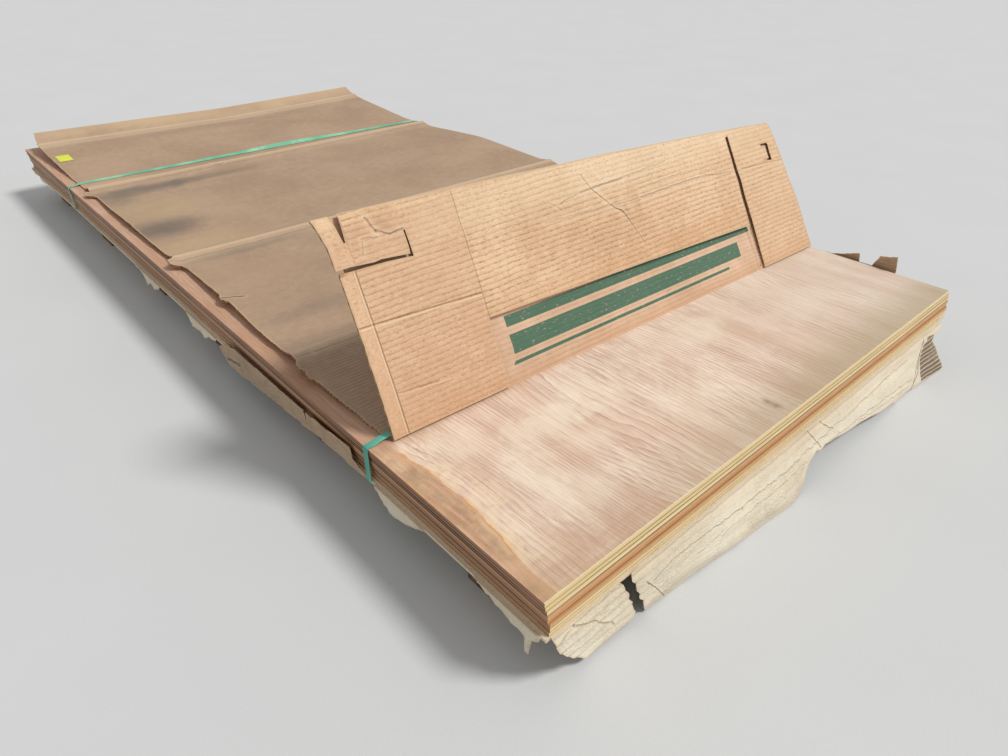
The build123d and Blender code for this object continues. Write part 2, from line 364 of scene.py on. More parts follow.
def wire_flecks(g: Graph, given: Sockets) -> Sockets:
    """Small dark specks and long pale scratches of a paper liner.

    Args:
        g: The group's graph.
        given: Its input sockets.

    Returns:
        A socket for each output.
    """
    specks = g.grain(given["Vector"], (240.0, 420.0, 1.0), 2.0, 0.6)
    scratches = g.grain(given["Vector"], (30.0, 520.0, 1.0), 3.0, 0.6, 1.2)
    return {"Specks": g.span(specks, 0.68, 0.76), "Scratches": g.span(scratches, 0.62, 0.74)}


FLECKS = SharedGroup("liner_flecks", {"Vector": None}, ("Specks", "Scratches"), wire_flecks)


def wire_grit(g: Graph, given: Sockets) -> Sockets:
    """Scuffed grain of rubbed board: small dark and pale scuffs that gather in patches.

    Args:
        g: The group's graph.
        given: Its input sockets.

    Returns:
        A socket for each output.
    """
    grain = g.grain(given["Vector"], (150.0, 340.0, 1.0), 4.0, 0.72, 0.5)
    rubbed = g.span(g.noise(given["Vector"], 7.0, 3.0, 0.6), 0.36, 0.6, 0.35, 1.0)
    dark = g.times(g.span(grain, 0.52, 0.68), rubbed)
    return {"Dark": dark, "Pale": g.span(grain, 0.46, 0.3), "Height": grain}


GRIT = SharedGroup("scuffed_grain", {"Vector": None}, ("Dark", "Pale", "Height"), wire_grit)


def wire_crumple(g: Graph, given: Sockets) -> Sockets:
    """Crushed board: long wrinkles, dented facets, fine crinkles and broken crease lines, which are tinted as
    painted shade.

    Args:
        g: The group's graph.
        given: Its input sockets.

    Returns:
        A socket for each output.
    """
    point = given["Vector"]
    wrinkles = g.grain(point, (5.0, 34.0, 1.0), 3.0, 0.5, 0.5)
    dents = {"Vector": g.scaled(point, (6.0, 20.0, 1.0)), "Scale": 1.0, "Smoothness": 0.1}
    facets = g.add("TexVoronoi", dents, feature="SMOOTH_F1").outputs[0]
    crinkles = g.grain(point, (62.0, 105.0, 1.0), 2.0, 0.5, 1.4)
    folded = g.span(g.off(crinkles), 0.1, 0.0)
    crushed = g.span(g.noise(point, 12.0, 2.0, 0.5), 0.42, 0.58, 0.2, 1.0)
    height = g.times_add(facets, 0.6, g.times(wrinkles, 0.7))
    height = g.times_add(g.times(folded, crushed), 0.26, height)
    creased = g.span(g.off(wrinkles), 0.012, 0.0)
    broken = g.span(g.noise(point, 17.0, 3.0, 0.6), 0.52, 0.62)
    return {"Height": height, "Crease": g.times(creased, broken)}


CRUMPLE = SharedGroup("crumpled_board", {"Vector": None}, ("Height", "Crease"), wire_crumple)


def wire_torn(g: Graph, given: Sockets) -> Sockets:
    """Torn paper along a rim, by the distance to the rim and how far the paper is torn.

    Args:
        g: The group's graph.
        given: Its input sockets.

    Returns:
        A socket for each output.
    """
    frayed = g.times(g.noise(given["Vector"], 110.0, 3.0, 0.6), given["Torn"])
    return {"Mask": g.span(g.times_add(frayed, -2.0, given["Rim"]), 0.0015, -0.001)}


TORN = SharedGroup("torn_rim", {"Vector": None, "Rim": 1.0, "Torn": 0.0025}, ("Mask",), wire_torn)


def wire_panel(g: Graph, given: Sockets) -> Sockets:
    """Straight-edged panel of print or liner on a flat pattern, and the spots where it is rubbed off.

    Args:
        g: The group's graph.
        given: Its input sockets.

    Returns:
        A socket for each output.
    """
    mask = None
    for place, low, high in list(zip(*(g.axes(given[name]) for name in ("Vector", "Low", "High"))))[:2]:
        past_low = g.span(place, low, g.math("ADD", low, MM))
        within = g.times(past_low, g.span(place, high, g.math("SUBTRACT", high, MM)))
        mask = g.times(mask, within) if mask else within
    spots = g.grain(given["Vector"], (120.0, 240.0, 1.0), 3.0, 0.6)
    return {"Mask": mask, "Kept": g.span(spots, 0.3, 0.4)}


PANEL = SharedGroup("liner_panel", {"Vector": None, "Low": None, "High": None}, ("Mask", "Kept"), wire_panel)


def wire_veneer(g: Graph, given: Sockets) -> Sockets:
    """Flat-cut veneer along Y: wandering growth lines, fibres, pores and pale flecks.

    Args:
        g: The group's graph.
        given: Its input sockets.

    Returns:
        A socket for each output.
    """
    point = given["Vector"]
    across = g.axes(point)[0]
    sweep = g.grain(point, (2.3, 0.75, 1.0), 2.0, 0.45, 0.2)
    waver = g.grain(point, (14.0, 4.5, 1.0), 3.0, 0.55)
    ripple = g.grain(point, (60.0, 22.0, 1.0), 2.0, 0.5)
    turns = g.times_add(sweep, 34.0, g.times(across, 100.0))
    turns = g.times_add(ripple, 0.6, g.times_add(waver, 2.6, turns))
    saw = g.math("FRACT", turns)
    fade = g.span(g.grain(point, (14.0, 4.0, 1.0), 3.0, 0.6), 0.36, 0.62, 0.05, 1.0)
    frayed = g.span(g.grain(point, (260.0, 26.0, 1.0), 2.0), 0.3, 0.55)
    edge = g.times(g.span(saw, 0.78, 0.97), g.span(saw, 1.0, 0.98))
    line = g.times(edge, g.times(fade, frayed))
    band = g.span(g.grain(point, (19.0, 1.6, 1.0), 3.0, 0.6), 0.35, 0.65)
    fibre = g.grain(point, (430.0, 9.0, 1.0), 4.0, 0.65)
    thread = g.grain(point, (1500.0, 36.0, 1.0), 2.0, 0.6)
    pores = g.span(g.grain(point, (900.0, 52.0, 1.0), 1.0), 0.64, 0.76)
    flecks = g.grain(point, (170.0, 26.0, 1.0), 4.0, 0.7)
    clouds = g.grain(point, (6.0, 5.0, 1.0), 5.0, 0.62, 0.5)
    pale = g.times(g.span(clouds, 0.46, 0.62), g.span(flecks, 0.46, 0.6, 0.14, 1.0))
    grain = g.times_add(fibre, 0.85, g.times(thread, 0.3))
    tone = g.times_add(saw, -0.17, g.times_add(band, 0.16, grain))
    return {
        "Tone": g.span(tone, 0.32, 0.8),
        "Line": line,
        "Pores": pores,
        "Pale": pale,
        "Clouds": clouds,
        "Fibre": fibre,
    }


VENEER = SharedGroup(
    "flat_cut_veneer", {"Vector": None}, ("Tone", "Line", "Pores", "Pale", "Clouds", "Fibre"), wire_veneer,
)


def wire_plies(g: Graph, given: Sockets) -> Sockets:
    """Plies on a sheet's cut edge, and painted shadow in the gap along its upper and lower arris.

    Args:
        g: The group's graph.
        given: Its input sockets.

    Returns:
        A socket for each output.
    """
    x, y, z = g.axes(given["Vector"])
    along = g.math("ADD", x, y)
    spot = g.add("CombineXYZ", {0: along, 1: given["Base"], 2: 0.0}).outputs[0]
    stray = g.times(g.math("SUBTRACT", g.noise(spot, 9.0, 2.0), 0.5), 0.0009)
    height = g.math("DIVIDE", g.math("SUBTRACT", g.math("ADD", z, stray), given["Base"]), SHEET)
    ply = g.times(height, PLY_COUNT)
    core = g.span(g.off(g.math("FRACT", g.times(ply, 0.5))), 0.2, 0.3)
    glue = g.span(g.off(g.math("FRACT", ply)), 0.36, 0.47)
    fuzz = g.grain(given["Vector"], (24.0, 24.0, 900.0), 3.0, 0.55)
    patch = g.span(g.grain(given["Vector"], (5.0, 5.0, 160.0), 3.0), 0.36, 0.64)
    # Painted shadow in the gap under and over each sheet.
    gap_shade_low = g.span(height, g.times(given["Joint"], 1.4), g.times(given["Joint"], 0.6))
    gap_shade_high = g.span(height, 0.94, 0.99, 0.0, 0.3)
    broken = g.span(g.noise(spot, 4.0, 3.0, 0.55), 0.3, 0.56, 0.55, 1.0)
    gap = g.times(g.math("MAXIMUM", gap_shade_low, gap_shade_high), broken)
    return {"Core": core, "Glue": glue, "Fuzz": fuzz, "Patch": patch, "Gap": gap}


PLIES = SharedGroup(
    "ply_bands", {"Vector": None, "Base": 0.0, "Joint": 0.1}, ("Core", "Glue", "Fuzz", "Patch", "Gap"),
    wire_plies,
)


class Finish:
    """A material under construction: its graph, its shader and the usual coordinates.

    Args:
        name: The material's name.
    """

    def __init__(self, name: str) -> None:
        """Makes the bare material."""
        self.material = bpy.data.materials.new(name)
        self.material.use_nodes = True
        tree = self.material.node_tree
        self.graph = Graph(tree)
        self.shader = tree.nodes["Principled BSDF"]
        texture = self.graph.add("TexCoord")
        self.point = texture.outputs["Object"]
        self.pattern = texture.outputs["UV"]
        self.normal = texture.outputs["Normal"]

    def group(self, shared: SharedGroup, values: dict) -> bpy.types.NodeOutputs:
        """Places a shared group.

        Args:
            shared: The group.
            values: A constant or a socket for each input that isn't left at its default.

        Returns:
            The group's outputs.
        """
        return self.graph.add("Group", values, node_tree=shared.tree()).outputs

    def stain(self, centre: tuple, radius: tuple, **grain: object) -> Socket:
        """The mask of a ragged stain by its middle and reach, with its Streak and Ragged where given."""
        return self.group(STAIN, {"Vector": self.point, "Centre": centre, "Radius": radius, **grain})[0]

    def attribute(self, name: str) -> Socket:
        """A number stored on the mesh's vertices."""
        return self.graph.add("Attribute", attribute_name=name).outputs["Fac"]

    def dress(self, colour: Socket, roughness: Socket | float, normal: Socket | None) -> Material:
        """Feeds the shader.

        Args:
            colour: The base colour.
            roughness: The roughness.
            normal: The bumped normal.

        Returns:
            The material.
        """
        for key, value in (("Base Color", colour), ("Roughness", roughness), ("Normal", normal)):
            self.graph.feed(self.shader.inputs[key], value)
        return self.material


# ---- finishes


@dataclass(frozen=True)
class PlywoodFinish:
    """Bare plywood: veneer on its faces, plies on its cut edges.

    Attributes:
        number: The sheet's number from the bottom, from 1.
        end: Colour of its cut end, painted as lit.
        flank: Colour of its long cut edge, painted as shaded: darker than its end.
        joint: How wide the painted shadow in the joint under it is along its flanks, as a share of its
            thickness.
        exposed: Whether its upper face shows, with its stains.
        pale_spots: Its bleached spots, by X, Y, their reach both ways and their strength.
    """

    number: int
    end: Colour
    flank: Colour
    joint: float
    exposed: bool = False
    pale_spots: tuple[tuple[float, ...], ...] = (
        (-0.373, -0.842, 0.09, 0.05, 0.55), (-0.26, -0.833, 0.07, 0.06, 0.45),
        (-0.339, -0.904, 0.07, 0.04, 0.4), (0.061, -0.826, 0.1, 0.05, 0.5), (-0.15, -0.95, 0.1, 0.07, 0.35),
        (0.3, -0.9, 0.16, 0.06, 0.4), (-0.5, -0.79, 0.05, 0.06, 0.5), (-0.46, -0.9, 0.05, 0.07, 0.55),
        (-0.42, -0.98, 0.06, 0.06, 0.45),
    )

    def stained(self, f: Finish, colour: Socket) -> Socket:
        """Adds the top sheet's water stains, knot and weathered rims.

        Args:
            f: The material under construction.
            colour: The clean veneer's colour.

        Returns:
            The stained colour.
        """
        g = f.graph
        x, y, _ = g.axes(f.point)
        ragged = g.math("SUBTRACT", g.noise(f.point, 15.0, 5.0, 0.62, 0.5), 0.5)
        streaks = g.math("SUBTRACT", g.grain(f.point, (120.0, 9.0, 1.0), 4.0, 0.65), 0.5)
        slow = g.math("SUBTRACT", g.noise(f.point, 7.0, 2.0, 0.5), 0.5)
        bent = g.times_add(slow, 0.014, g.times(ragged, 0.02))
        inset = g.math("ADD", g.times_add(streaks, 0.008, bent), g.math("ADD", x, SIDE))
        reach = g.times(g.span(y, -1.04, -0.93, 0.022, 0.036), g.span(y, -0.7, -0.84, 0.75, 1.0))
        over = g.math("SUBTRACT", reach, inset)
        open_end = g.span(y, -0.7, -0.74)
        blotches = g.span(g.noise(f.point, 30.0, 5.0, 0.66, 0.4), 0.42, 0.62)
        fringe = g.times(g.span(over, -0.085, -0.012), g.times(blotches, open_end))
        colour = g.tint(colour, fringe, 0.55, rgb(247, 228, 190))
        rim = g.times(g.span(over, -0.004, 0.004), open_end)
        shade = g.mix(g.span(ragged, -0.14, 0.12), rgb(178, 128, 88), rgb(212, 166, 122))
        colour = g.tint(colour, rim, g.span(streaks, -0.16, 0.16, 0.55, 0.85), shade)
        grey = g.times(g.span(over, 0.004, 0.012), g.span(over, 0.036, 0.024))
        grey = g.times(grey, g.times(blotches, open_end))
        colour = g.tint(colour, grey, 0.6, rgb(164, 136, 110))
        glow = g.times(g.times(g.span(over, -0.01, -0.002), g.span(over, 0.004, 0.0)), open_end)
        colour = g.tint(colour, glow, g.times_add(blotches, 0.4, 0.15), rgb(238, 192, 134))
        ring = g.times(g.times(g.span(over, -0.002, 0.0), g.span(over, 0.003, 0.001)), open_end)
        colour = g.tint(colour, ring, g.times_add(blotches, 0.35, 0.2), rgb(188, 124, 70))
        shelf = g.span(y, -0.75, -0.71, 0.0, 0.8)
        colour = g.tint(colour, shelf, g.span(streaks, -0.2, 0.2, 0.7, 1.0), rgb(186, 134, 96))
        corner = f.stain((-0.5, -1.07, STACK_TOP), (0.17, 0.075, 1.0))
        colour = g.tint(colour, corner, 0.45, rgb(190, 142, 104))
        for x_at, y_at, across, along, strength in self.pale_spots:
            pale = f.stain((x_at, y_at, STACK_TOP), (across, along, 1.0), Streak=(150.0, 24.0, 1.0))
            colour = g.tint(colour, pale, strength, rgb(248, 234, 212))
        bleached = g.times(g.span(x, -0.05, 0.5), g.span(streaks, -0.2, 0.2, 0.25, 0.5))
        colour = g.mix(bleached, colour, rgb(222, 211, 195))
        near = g.times_add(ragged, 0.03, g.times_add(streaks, 0.05, g.math("SUBTRACT", y, NEAR_EDGE)))
        olive = g.times(g.span(near, 0.12, 0.0), g.span(x, -0.5, 0.05, 0.3, 1.0))
        colour = g.tint(colour, olive, 0.6, rgb(170, 152, 116))
        split = g.grain(f.point, (40.0, 40.0, 1.0), 3.0, 0.6)
        worn = g.span(g.times_add(split, -0.003, g.math("SUBTRACT", y, NEAR_EDGE)), 0.001, -0.0005)
        colour = g.tint(colour, worn, 0.7, rgb(250, 232, 186))
        knot = f.stain((-0.056, -1.045, STACK_TOP), (0.012, 0.022, 1.0))
        return g.tint(colour, knot, 0.75, rgb(140, 96, 70))

    def build(self) -> Material:
        """Makes the material.

        Returns:
            The material.
        """
        f = Finish(f"plywood_{self.number:02d}")
        g = f.graph
        shifted = g.vector("ADD", f.point, (0.37 * self.number, 0.81 * self.number, 0.0)).outputs[0]
        veneer = f.group(VENEER, {"Vector": shifted})
        face = g.mix(veneer["Tone"], rgb(203, 170, 148), rgb(243, 221, 203))
        face = g.mix(g.span(veneer["Clouds"], 0.35, 0.55, 0.22, 0.0), face, rgb(216, 172, 140))
        face = g.tint(face, veneer["Pale"], 0.58, rgb(250, 236, 216))
        face = g.tint(face, veneer["Line"], 0.55, rgb(158, 112, 84))
        face = g.tint(face, veneer["Pores"], 0.34, rgb(158, 112, 86))
        if self.exposed:
            face = self.stained(f, face)
        faces = [g.math("ABSOLUTE", axis) for axis in g.axes(f.normal)]
        ended = g.span(faces[1], 0.4, 0.6)
        joint = g.times_add(ended, -0.5 * self.joint, self.joint)
        base = PAD_TOP + (self.number - 1) * SHEET
        plies = f.group(PLIES, {"Vector": f.point, "Base": base, "Joint": joint})
        # Ends take the lit colour and flanks the shaded one: painted light and painted shade.
        cut = g.mix(ended, self.flank, self.end)
        dark = g.mix(1.0, cut, rgb(205, 172, 140), "MULTIPLY")
        cut = g.tint(cut, plies["Core"], 0.35, dark)
        cut = g.tint(cut, plies["Glue"], 0.16, rgb(130, 92, 60))
        cut = g.tint(cut, plies["Patch"], 0.16, rgb(186, 138, 92))
        fuzz = g.times(g.span(plies["Fuzz"], 0.45, 0.7), g.times_add(ended, 0.24, 0.06))
        cut = g.mix(fuzz, cut, rgb(255, 238, 196))
        # Painted shadow in the gaps between the sheets, near black, a little weaker on the ends.
        cut = g.tint(cut, plies["Gap"], g.times_add(ended, -0.12, 0.97), rgb(34, 22, 16))
        if not self.exposed:
            lip = g.span(g.axes(f.point)[1], NEAR_EDGE + 0.02, NEAR_EDGE + 0.01)
            face = g.mix(lip, face, g.mix(1.0, self.end, rgb(216, 208, 200), "MULTIPLY"))
        flat = g.span(faces[2], 0.4, 0.6)
        colour = g.mix(flat, cut, face)
        sawn = g.times_add(plies["Gap"], -0.8, plies["Fuzz"])
        height = g.mix(flat, sawn, g.times_add(veneer["Line"], -0.5, veneer["Fibre"]))
        rough = g.span(veneer["Tone"], 0.0, 1.0, 0.62, 0.5)
        return f.dress(colour, rough, g.bump(height, 0.0003))


@dataclass(frozen=True)
class TimberFinish:
    """Rough-sawn weathered timber with its grain along X."""

    def build(self) -> Material:
        """Makes the material.

        Returns:
            The material.
        """
        f = Finish("bearer_timber")
        g = f.graph
        mottle = f.group(MOTTLE, {"Vector": f.point})
        fibre = g.grain(f.point, (6.0, 260.0, 260.0), 4.0, 0.62)
        saw = g.grain(f.point, (210.0, 6.0, 6.0), 2.0)
        z = g.axes(f.point)[2]
        cell = g.vector("FRACTION", g.scaled(f.point, (0.0, 7.0, 7.0))).outputs[0]
        spread = g.vector("LENGTH", g.scaled(cell, (0.0, 1.0, 1.0))).outputs[1]
        rings = g.math("FRACT", g.times(g.math("ADD", spread, g.noise(f.point, 9.0)), 9.0))
        side = g.mix(g.span(fibre, 0.3, 0.7), rgb(112, 84, 60), rgb(178, 140, 102))
        end = g.mix(g.span(rings, 0.5, 0.95), rgb(150, 112, 76), rgb(104, 74, 50))
        faces = [g.math("ABSOLUTE", axis) for axis in g.axes(f.normal)]
        colour = g.mix(g.span(faces[0], 0.4, 0.6), side, end)
        colour = g.tint(colour, mottle["Clouds"], 0.3, rgb(120, 112, 102))
        # Darker towards the floor, over the lowest 3 cm.
        colour = g.mix(g.span(z, 0.03, 0.0, 0.0, 0.45), colour, rgb(84, 76, 66))
        height = g.times_add(fibre, 0.7, g.times(saw, 0.5))
        return f.dress(colour, 0.85, g.bump(height, 0.0009))


# Painted shade in creases, cracks and tears.
CREASE_SHADE = rgb(112, 74, 48)


@dataclass(frozen=True)
class Mark:
    """A stain on a board, by its middle and reach on the object.

    Attributes:
        centre: Its middle.
        radius: Its reach along each axis.
        colour: What it tints the board with.
        strength: How far it covers the board, from 0 to 1.
    """

    centre: Point3
    radius: Point3
    colour: Colour
    strength: float


@dataclass(frozen=True)
class Score:
    """A crease, crack or scratch on a board, by its ends on the flat board.

    Attributes:
        start: Its one end.
        end: Its other end.
        width: Half its width.
        depth: How deep it is pressed in, or how high it stands where negative.
        strength: How strong its line is, from 0 to 1.
        sway: How far it strays from straight.
        tint: Colour of its line; the default paints the shade in the groove.
        halo: How strong the pale band beside it is, from 0 to 1: worn paper and painted highlight.
    """

    start: Point2
    end: Point2
    width: float = 0.0012
    depth: float = 0.0008
    strength: float = 0.35
    sway: float = 0.004
    tint: Colour = CREASE_SHADE
    halo: float = 0.16


@dataclass(frozen=True)
class Patch:
    """A straight-edged patch on the flat board: print, or another sheet of liner.

    Attributes:
        low: Its lowest corner on the flat board.
        high: Its highest corner there.
        tint: Its colour.
        strength: How far it covers the board, from 0 to 1.
        worn: How far it is rubbed off in spots, from 0 to 1.
    """

    low: Point2
    high: Point2
    tint: Colour
    strength: float = 0.92
    worn: float = 0.6


@dataclass(frozen=True)
class BoardFinish:
    """Paper liner of corrugated board.

    Attributes:
        name: The material's name.
        light: Its colour where it is cleanest.
        dark: Its colour where it is most toned.
        line: Colour of the flute lines, which paint shade and worn scuffs in the valleys.
        flute: Distance between its flutes.
        relief: How deep the flutes show through.
        lines: How strong the flute lines are, painted shade and worn scuffs.
        specks: How strong the small dark specks are.
        crumple: How deep its fine wrinkles are.
        torn: How far torn paper shows at its rim.
        torn_tint: Colour of that torn paper.
        pressed: Width of the strip along its left edge where the flutes are pressed flat.
        grit: How strong its scuffed grain is.
        bared: Where the liner is torn off its flutes.
        marks: Its stains.
        scores: Its creases and cracks.
        patches: Its printed bars and liner panels.
    """

    name: str
    light: Colour
    dark: Colour
    line: Colour
    flute: float = 0.009
    relief: float = 0.0006
    lines: float = 0.3
    specks: float = 0.2
    crumple: float = 0.0
    torn: float = 0.0025
    torn_tint: Colour = rgb(204, 172, 136)
    pressed: float = 0.0
    grit: float = 0.0
    bared: Mark | None = None
    marks: tuple[Mark, ...] = ()
    scores: tuple[Score, ...] = ()
    patches: tuple[Patch, ...] = ()

    def patched(self, f: Finish, colour: Socket) -> Socket:
        """Adds the printed bars and the liner panels.

        Args:
            f: The material under construction.
            colour: The bare liner's colour.

        Returns:
            The patched colour.
        """
        g = f.graph
        for patch in self.patches:
            corners = {"Low": (*patch.low, 0.0), "High": (*patch.high, 0.0)}
            panel = f.group(PANEL, {"Vector": f.pattern, **corners})
            kept = g.times_add(panel["Kept"], patch.worn * patch.strength, (1 - patch.worn) * patch.strength)
            colour = g.tint(colour, panel["Mask"], kept, patch.tint)
        return colour

    def build(self) -> Material:
        """Makes the material.

        Returns:
            The material.
        """
        f = Finish(self.name)
        g = f.graph
        mottle = f.group(MOTTLE, {"Vector": f.pattern})
        flutes = f.group(FLUTES, {"Vector": f.pattern, "Pitch": self.flute})
        colour = g.mix(mottle["Tone"], self.dark, self.light)
        crest, valley = flutes["Height"], flutes["Line"]
        if self.pressed:
            free = g.span(g.axes(f.pattern)[0], self.pressed, self.pressed + 0.002)
            crest, valley = g.times(crest, free), g.times(valley, free)
        # Flute lines: painted shade in the valleys, and worn scuffs.
        colour = g.tint(colour, valley, self.lines, self.line)
        flecks = f.group(FLECKS, {"Vector": f.pattern})
        colour = g.tint(colour, flecks["Specks"], self.specks, self.line)
        colour = g.tint(colour, flecks["Scratches"], 0.22, rgb(240, 226, 206))
        for mark in self.marks:
            soiled = f.stain(mark.centre, mark.radius, Streak=(3.0, 3.0, 3.0), Ragged=0.9)
            colour = g.tint(colour, soiled, mark.strength, mark.colour)
        colour = self.patched(f, colour) if self.patches else colour
        height = g.times(crest, self.relief)
        if self.grit:
            grit = f.group(GRIT, {"Vector": f.pattern})
            colour = g.tint(colour, grit["Dark"], self.grit, self.line)
            colour = g.tint(colour, grit["Pale"], self.grit * 0.6, rgb(252, 234, 206))
            height = g.times_add(grit["Height"], -0.0009 * self.grit, height)
        if self.crumple:
            crushed = f.group(CRUMPLE, {"Vector": f.pattern})
            height = g.times_add(crushed["Height"], self.crumple, height)
            # Painted shade along the broken crease lines.
            colour = g.tint(colour, crushed["Crease"], 0.2, self.line)
        if self.bared:
            gone = f.stain(self.bared.centre, self.bared.radius, Streak=(3.0, 3.0, 3.0), Ragged=0.8)
            open_liner = g.span(gone, 0.3, 0.36)
            wave = g.math("SINE", g.times(g.axes(f.pattern)[1], math.tau / self.flute))
            ribs = g.mix(g.span(wave, 0.0, 1.0, 0.0, 0.8), self.bared.colour, self.torn_tint)
            colour = g.tint(colour, open_liner, self.bared.strength, ribs)
            height = g.times_add(g.times(open_liner, g.times_add(wave, 0.7, -1.0)), 0.0016, height)
        if self.scores:
            shake = g.add("TexNoise", {"Vector": f.pattern, "Scale": 60.0, "Detail": 3.0}).outputs[1]
            shake = g.vector("MULTIPLY_ADD", shake, (1.0, 1.0, 0.0), (-0.5, -0.5, 0.0)).outputs[0]
            flat = g.vector("MULTIPLY", f.pattern, (1.0, 1.0, 0.0)).outputs[0]
        for score in self.scores:
            values = {"Vector": flat, "Shake": shake, "Start": (*score.start, 0.0), "End": (*score.end, 0.0)}
            mask, halo = f.group(SCORE, {**values, "Width": score.width, "Sway": score.sway})
            height = g.times_add(mask, -score.depth, height)
            # Pale band beside the score: worn paper and painted highlight.
            if score.halo:
                colour = g.tint(colour, halo, score.halo, rgb(244, 226, 196))
            # The score's line; where its tint is dark it paints the shade in the groove.
            colour = g.tint(colour, mask, score.strength, score.tint)
        if self.torn:
            values = {"Vector": f.pattern, "Rim": f.attribute("rim"), "Torn": self.torn}
            colour = g.tint(colour, f.group(TORN, values)[0], 0.6, self.torn_tint)
        rough = g.span(mottle["Tone"], 0.0, 1.0, 0.92, 0.78)
        return f.dress(colour, rough, g.bump(height))


@dataclass(frozen=True)
class FluteEdgeFinish:
    """Cut or torn edge of corrugated board, where the flutes show between the liners.

    Attributes:
        name: The material's name.
        light: Colour of the paper's cut edge.
        dark: Colour inside the flutes, painted shade of their hollows.
        pitch: Distance between the flutes.
    """

    name: str
    light: Colour
    dark: Colour
    pitch: float = 0.008

    def build(self) -> Material:
        """Makes the material.

        Returns:
            The material.
        """
        f = Finish(self.name)
        g = f.graph
        x, y, _ = g.axes(f.point)
        along = g.math("ADD", x, g.times(y, 0.9))
        stray = g.noise(f.point, 70.0, 2.0)
        wave = g.math("SINE", g.times(g.times_add(stray, 0.006, along), math.tau / self.pitch))
        hollow = g.span(wave, 0.1, 0.8)
        frayed = g.grain(f.point, (500.0, 500.0, 900.0), 3.0, 0.6)
        # Painted shade inside the flute hollows; frayed spots darken towards it too.
        colour = g.mix(g.times(hollow, 0.75), self.light, self.dark)
        colour = g.mix(g.span(frayed, 0.35, 0.65, 0.0, 0.35), colour, self.dark)
        return f.dress(colour, 0.95, g.bump(g.math("SUBTRACT", frayed, hollow), 0.0012))


@dataclass(frozen=True)
class BandFinish:
    """Embossed plastic strap.

    Attributes:
        name: The material's name.
        colour: Its colour.
        pale: Its colour where it is bleached and scuffed.
        emboss: Distance between its pressed lines.
    """

    name: str
    colour: Colour
    pale: Colour
    emboss: float = 0.0022

    def build(self) -> Material:
        """Makes the material.

        Returns:
            The material.
        """
        f = Finish(self.name)
        g = f.graph
        u, v, _ = g.axes(f.pattern)
        rise = g.times(g.math("ADD", u, v), math.tau / self.emboss)
        fall = g.times(g.math("SUBTRACT", u, v), math.tau / self.emboss)
        emboss = g.math("MAXIMUM", g.math("SINE", rise), g.math("SINE", fall))
        scuff = g.grain(f.pattern, (60.0, 900.0, 1.0), 3.0, 0.6)
        cloud = g.noise(f.pattern, 9.0, 3.0)
        colour = g.mix(g.span(cloud, 0.4, 0.65), self.colour, self.pale)
        colour = g.mix(g.span(scuff, 0.55, 0.75, 0.0, 0.5), colour, self.pale)
        return f.dress(colour, g.span(scuff, 0.3, 0.8, 0.3, 0.55), g.bump(emboss, 0.00012))


@dataclass(frozen=True)
class LabelFinish:
    """Fluorescent paper label, blank, with a faint worn rim."""

    def build(self) -> Material:
        """Makes the material.

        Returns:
            The material.
        """
        f = Finish("label_paper")
        g = f.graph
        mottle = f.group(MOTTLE, {"Vector": f.pattern})
        colour = g.mix(mottle["Tone"], rgb(214, 224, 62), rgb(232, 240, 84))
        colour = g.mix(g.span(f.attribute("rim"), 0.0025, 0.0, 0.0, 0.4), colour, rgb(188, 190, 96))
        return f.dress(colour, 0.6, g.bump(mottle["Fleck"], 0.0002))


# ---- board work


def deselect() -> None:
    """Leaves nothing selected."""
    bpy.ops.object.select_all(action="DESELECT")


def activate(piece: Piece) -> None:
    """Makes a piece the only selected and the active one.

    Args:
        piece: The piece.
    """
    deselect()
    piece.select_set(True)
    bpy.context.view_layer.objects.active = piece


def wander(x: Array, y: Array, scale_x: float, scale_y: float, seed: float) -> Array:
    """Smooth noise from -1 to 1 at each point.

    Args:
        x: Places across.
        y: Places along.
        scale_x: Waves in a metre across.
        scale_y: Waves in a metre along.
        seed: Picks one noise of many.

    Returns:
        The noise at each point.
    """
    return np.array([noise.noise(Vector((a * scale_x, b * scale_y, seed))) for a, b in zip(x, y)])


def read(table: tuple[Point2, ...], place: Array, unit: float = MM) -> Array:
    """Reads a table of places and values at each place."""
    return np.interp(place, [a * unit for a, _ in table], [b * unit for _, b in table])


def metres(outline: tuple[Point2, ...]) -> list[Point2]:
    """An outline's corners, from mm."""
    return [(x * MM, y * MM) for x, y in outline]


def hump(away: Array, width: float) -> Array:
    """Smooth hump from 1 in its middle to nothing about two widths away."""
    return np.exp(-(away / width) ** 2)


def inside(points: Array, outline: list[Point2]) -> Array:
    """Tells which points lie within a closed outline.

    Args:
        points: The points' X and Y.
        outline: The outline's corners.

    Returns:
        Whether each point lies within it.
    """
    hit = np.zeros(len(points), bool)
    for (ax, ay), (bx, by) in zip(outline, outline[1:] + outline[:1]):
        if ay == by:
            continue
        crosses = (points[:, 1] < ay) != (points[:, 1] < by)
        hit ^= crosses & (points[:, 0] < ax + (points[:, 1] - ay) * (bx - ax) / (by - ay))
    return hit


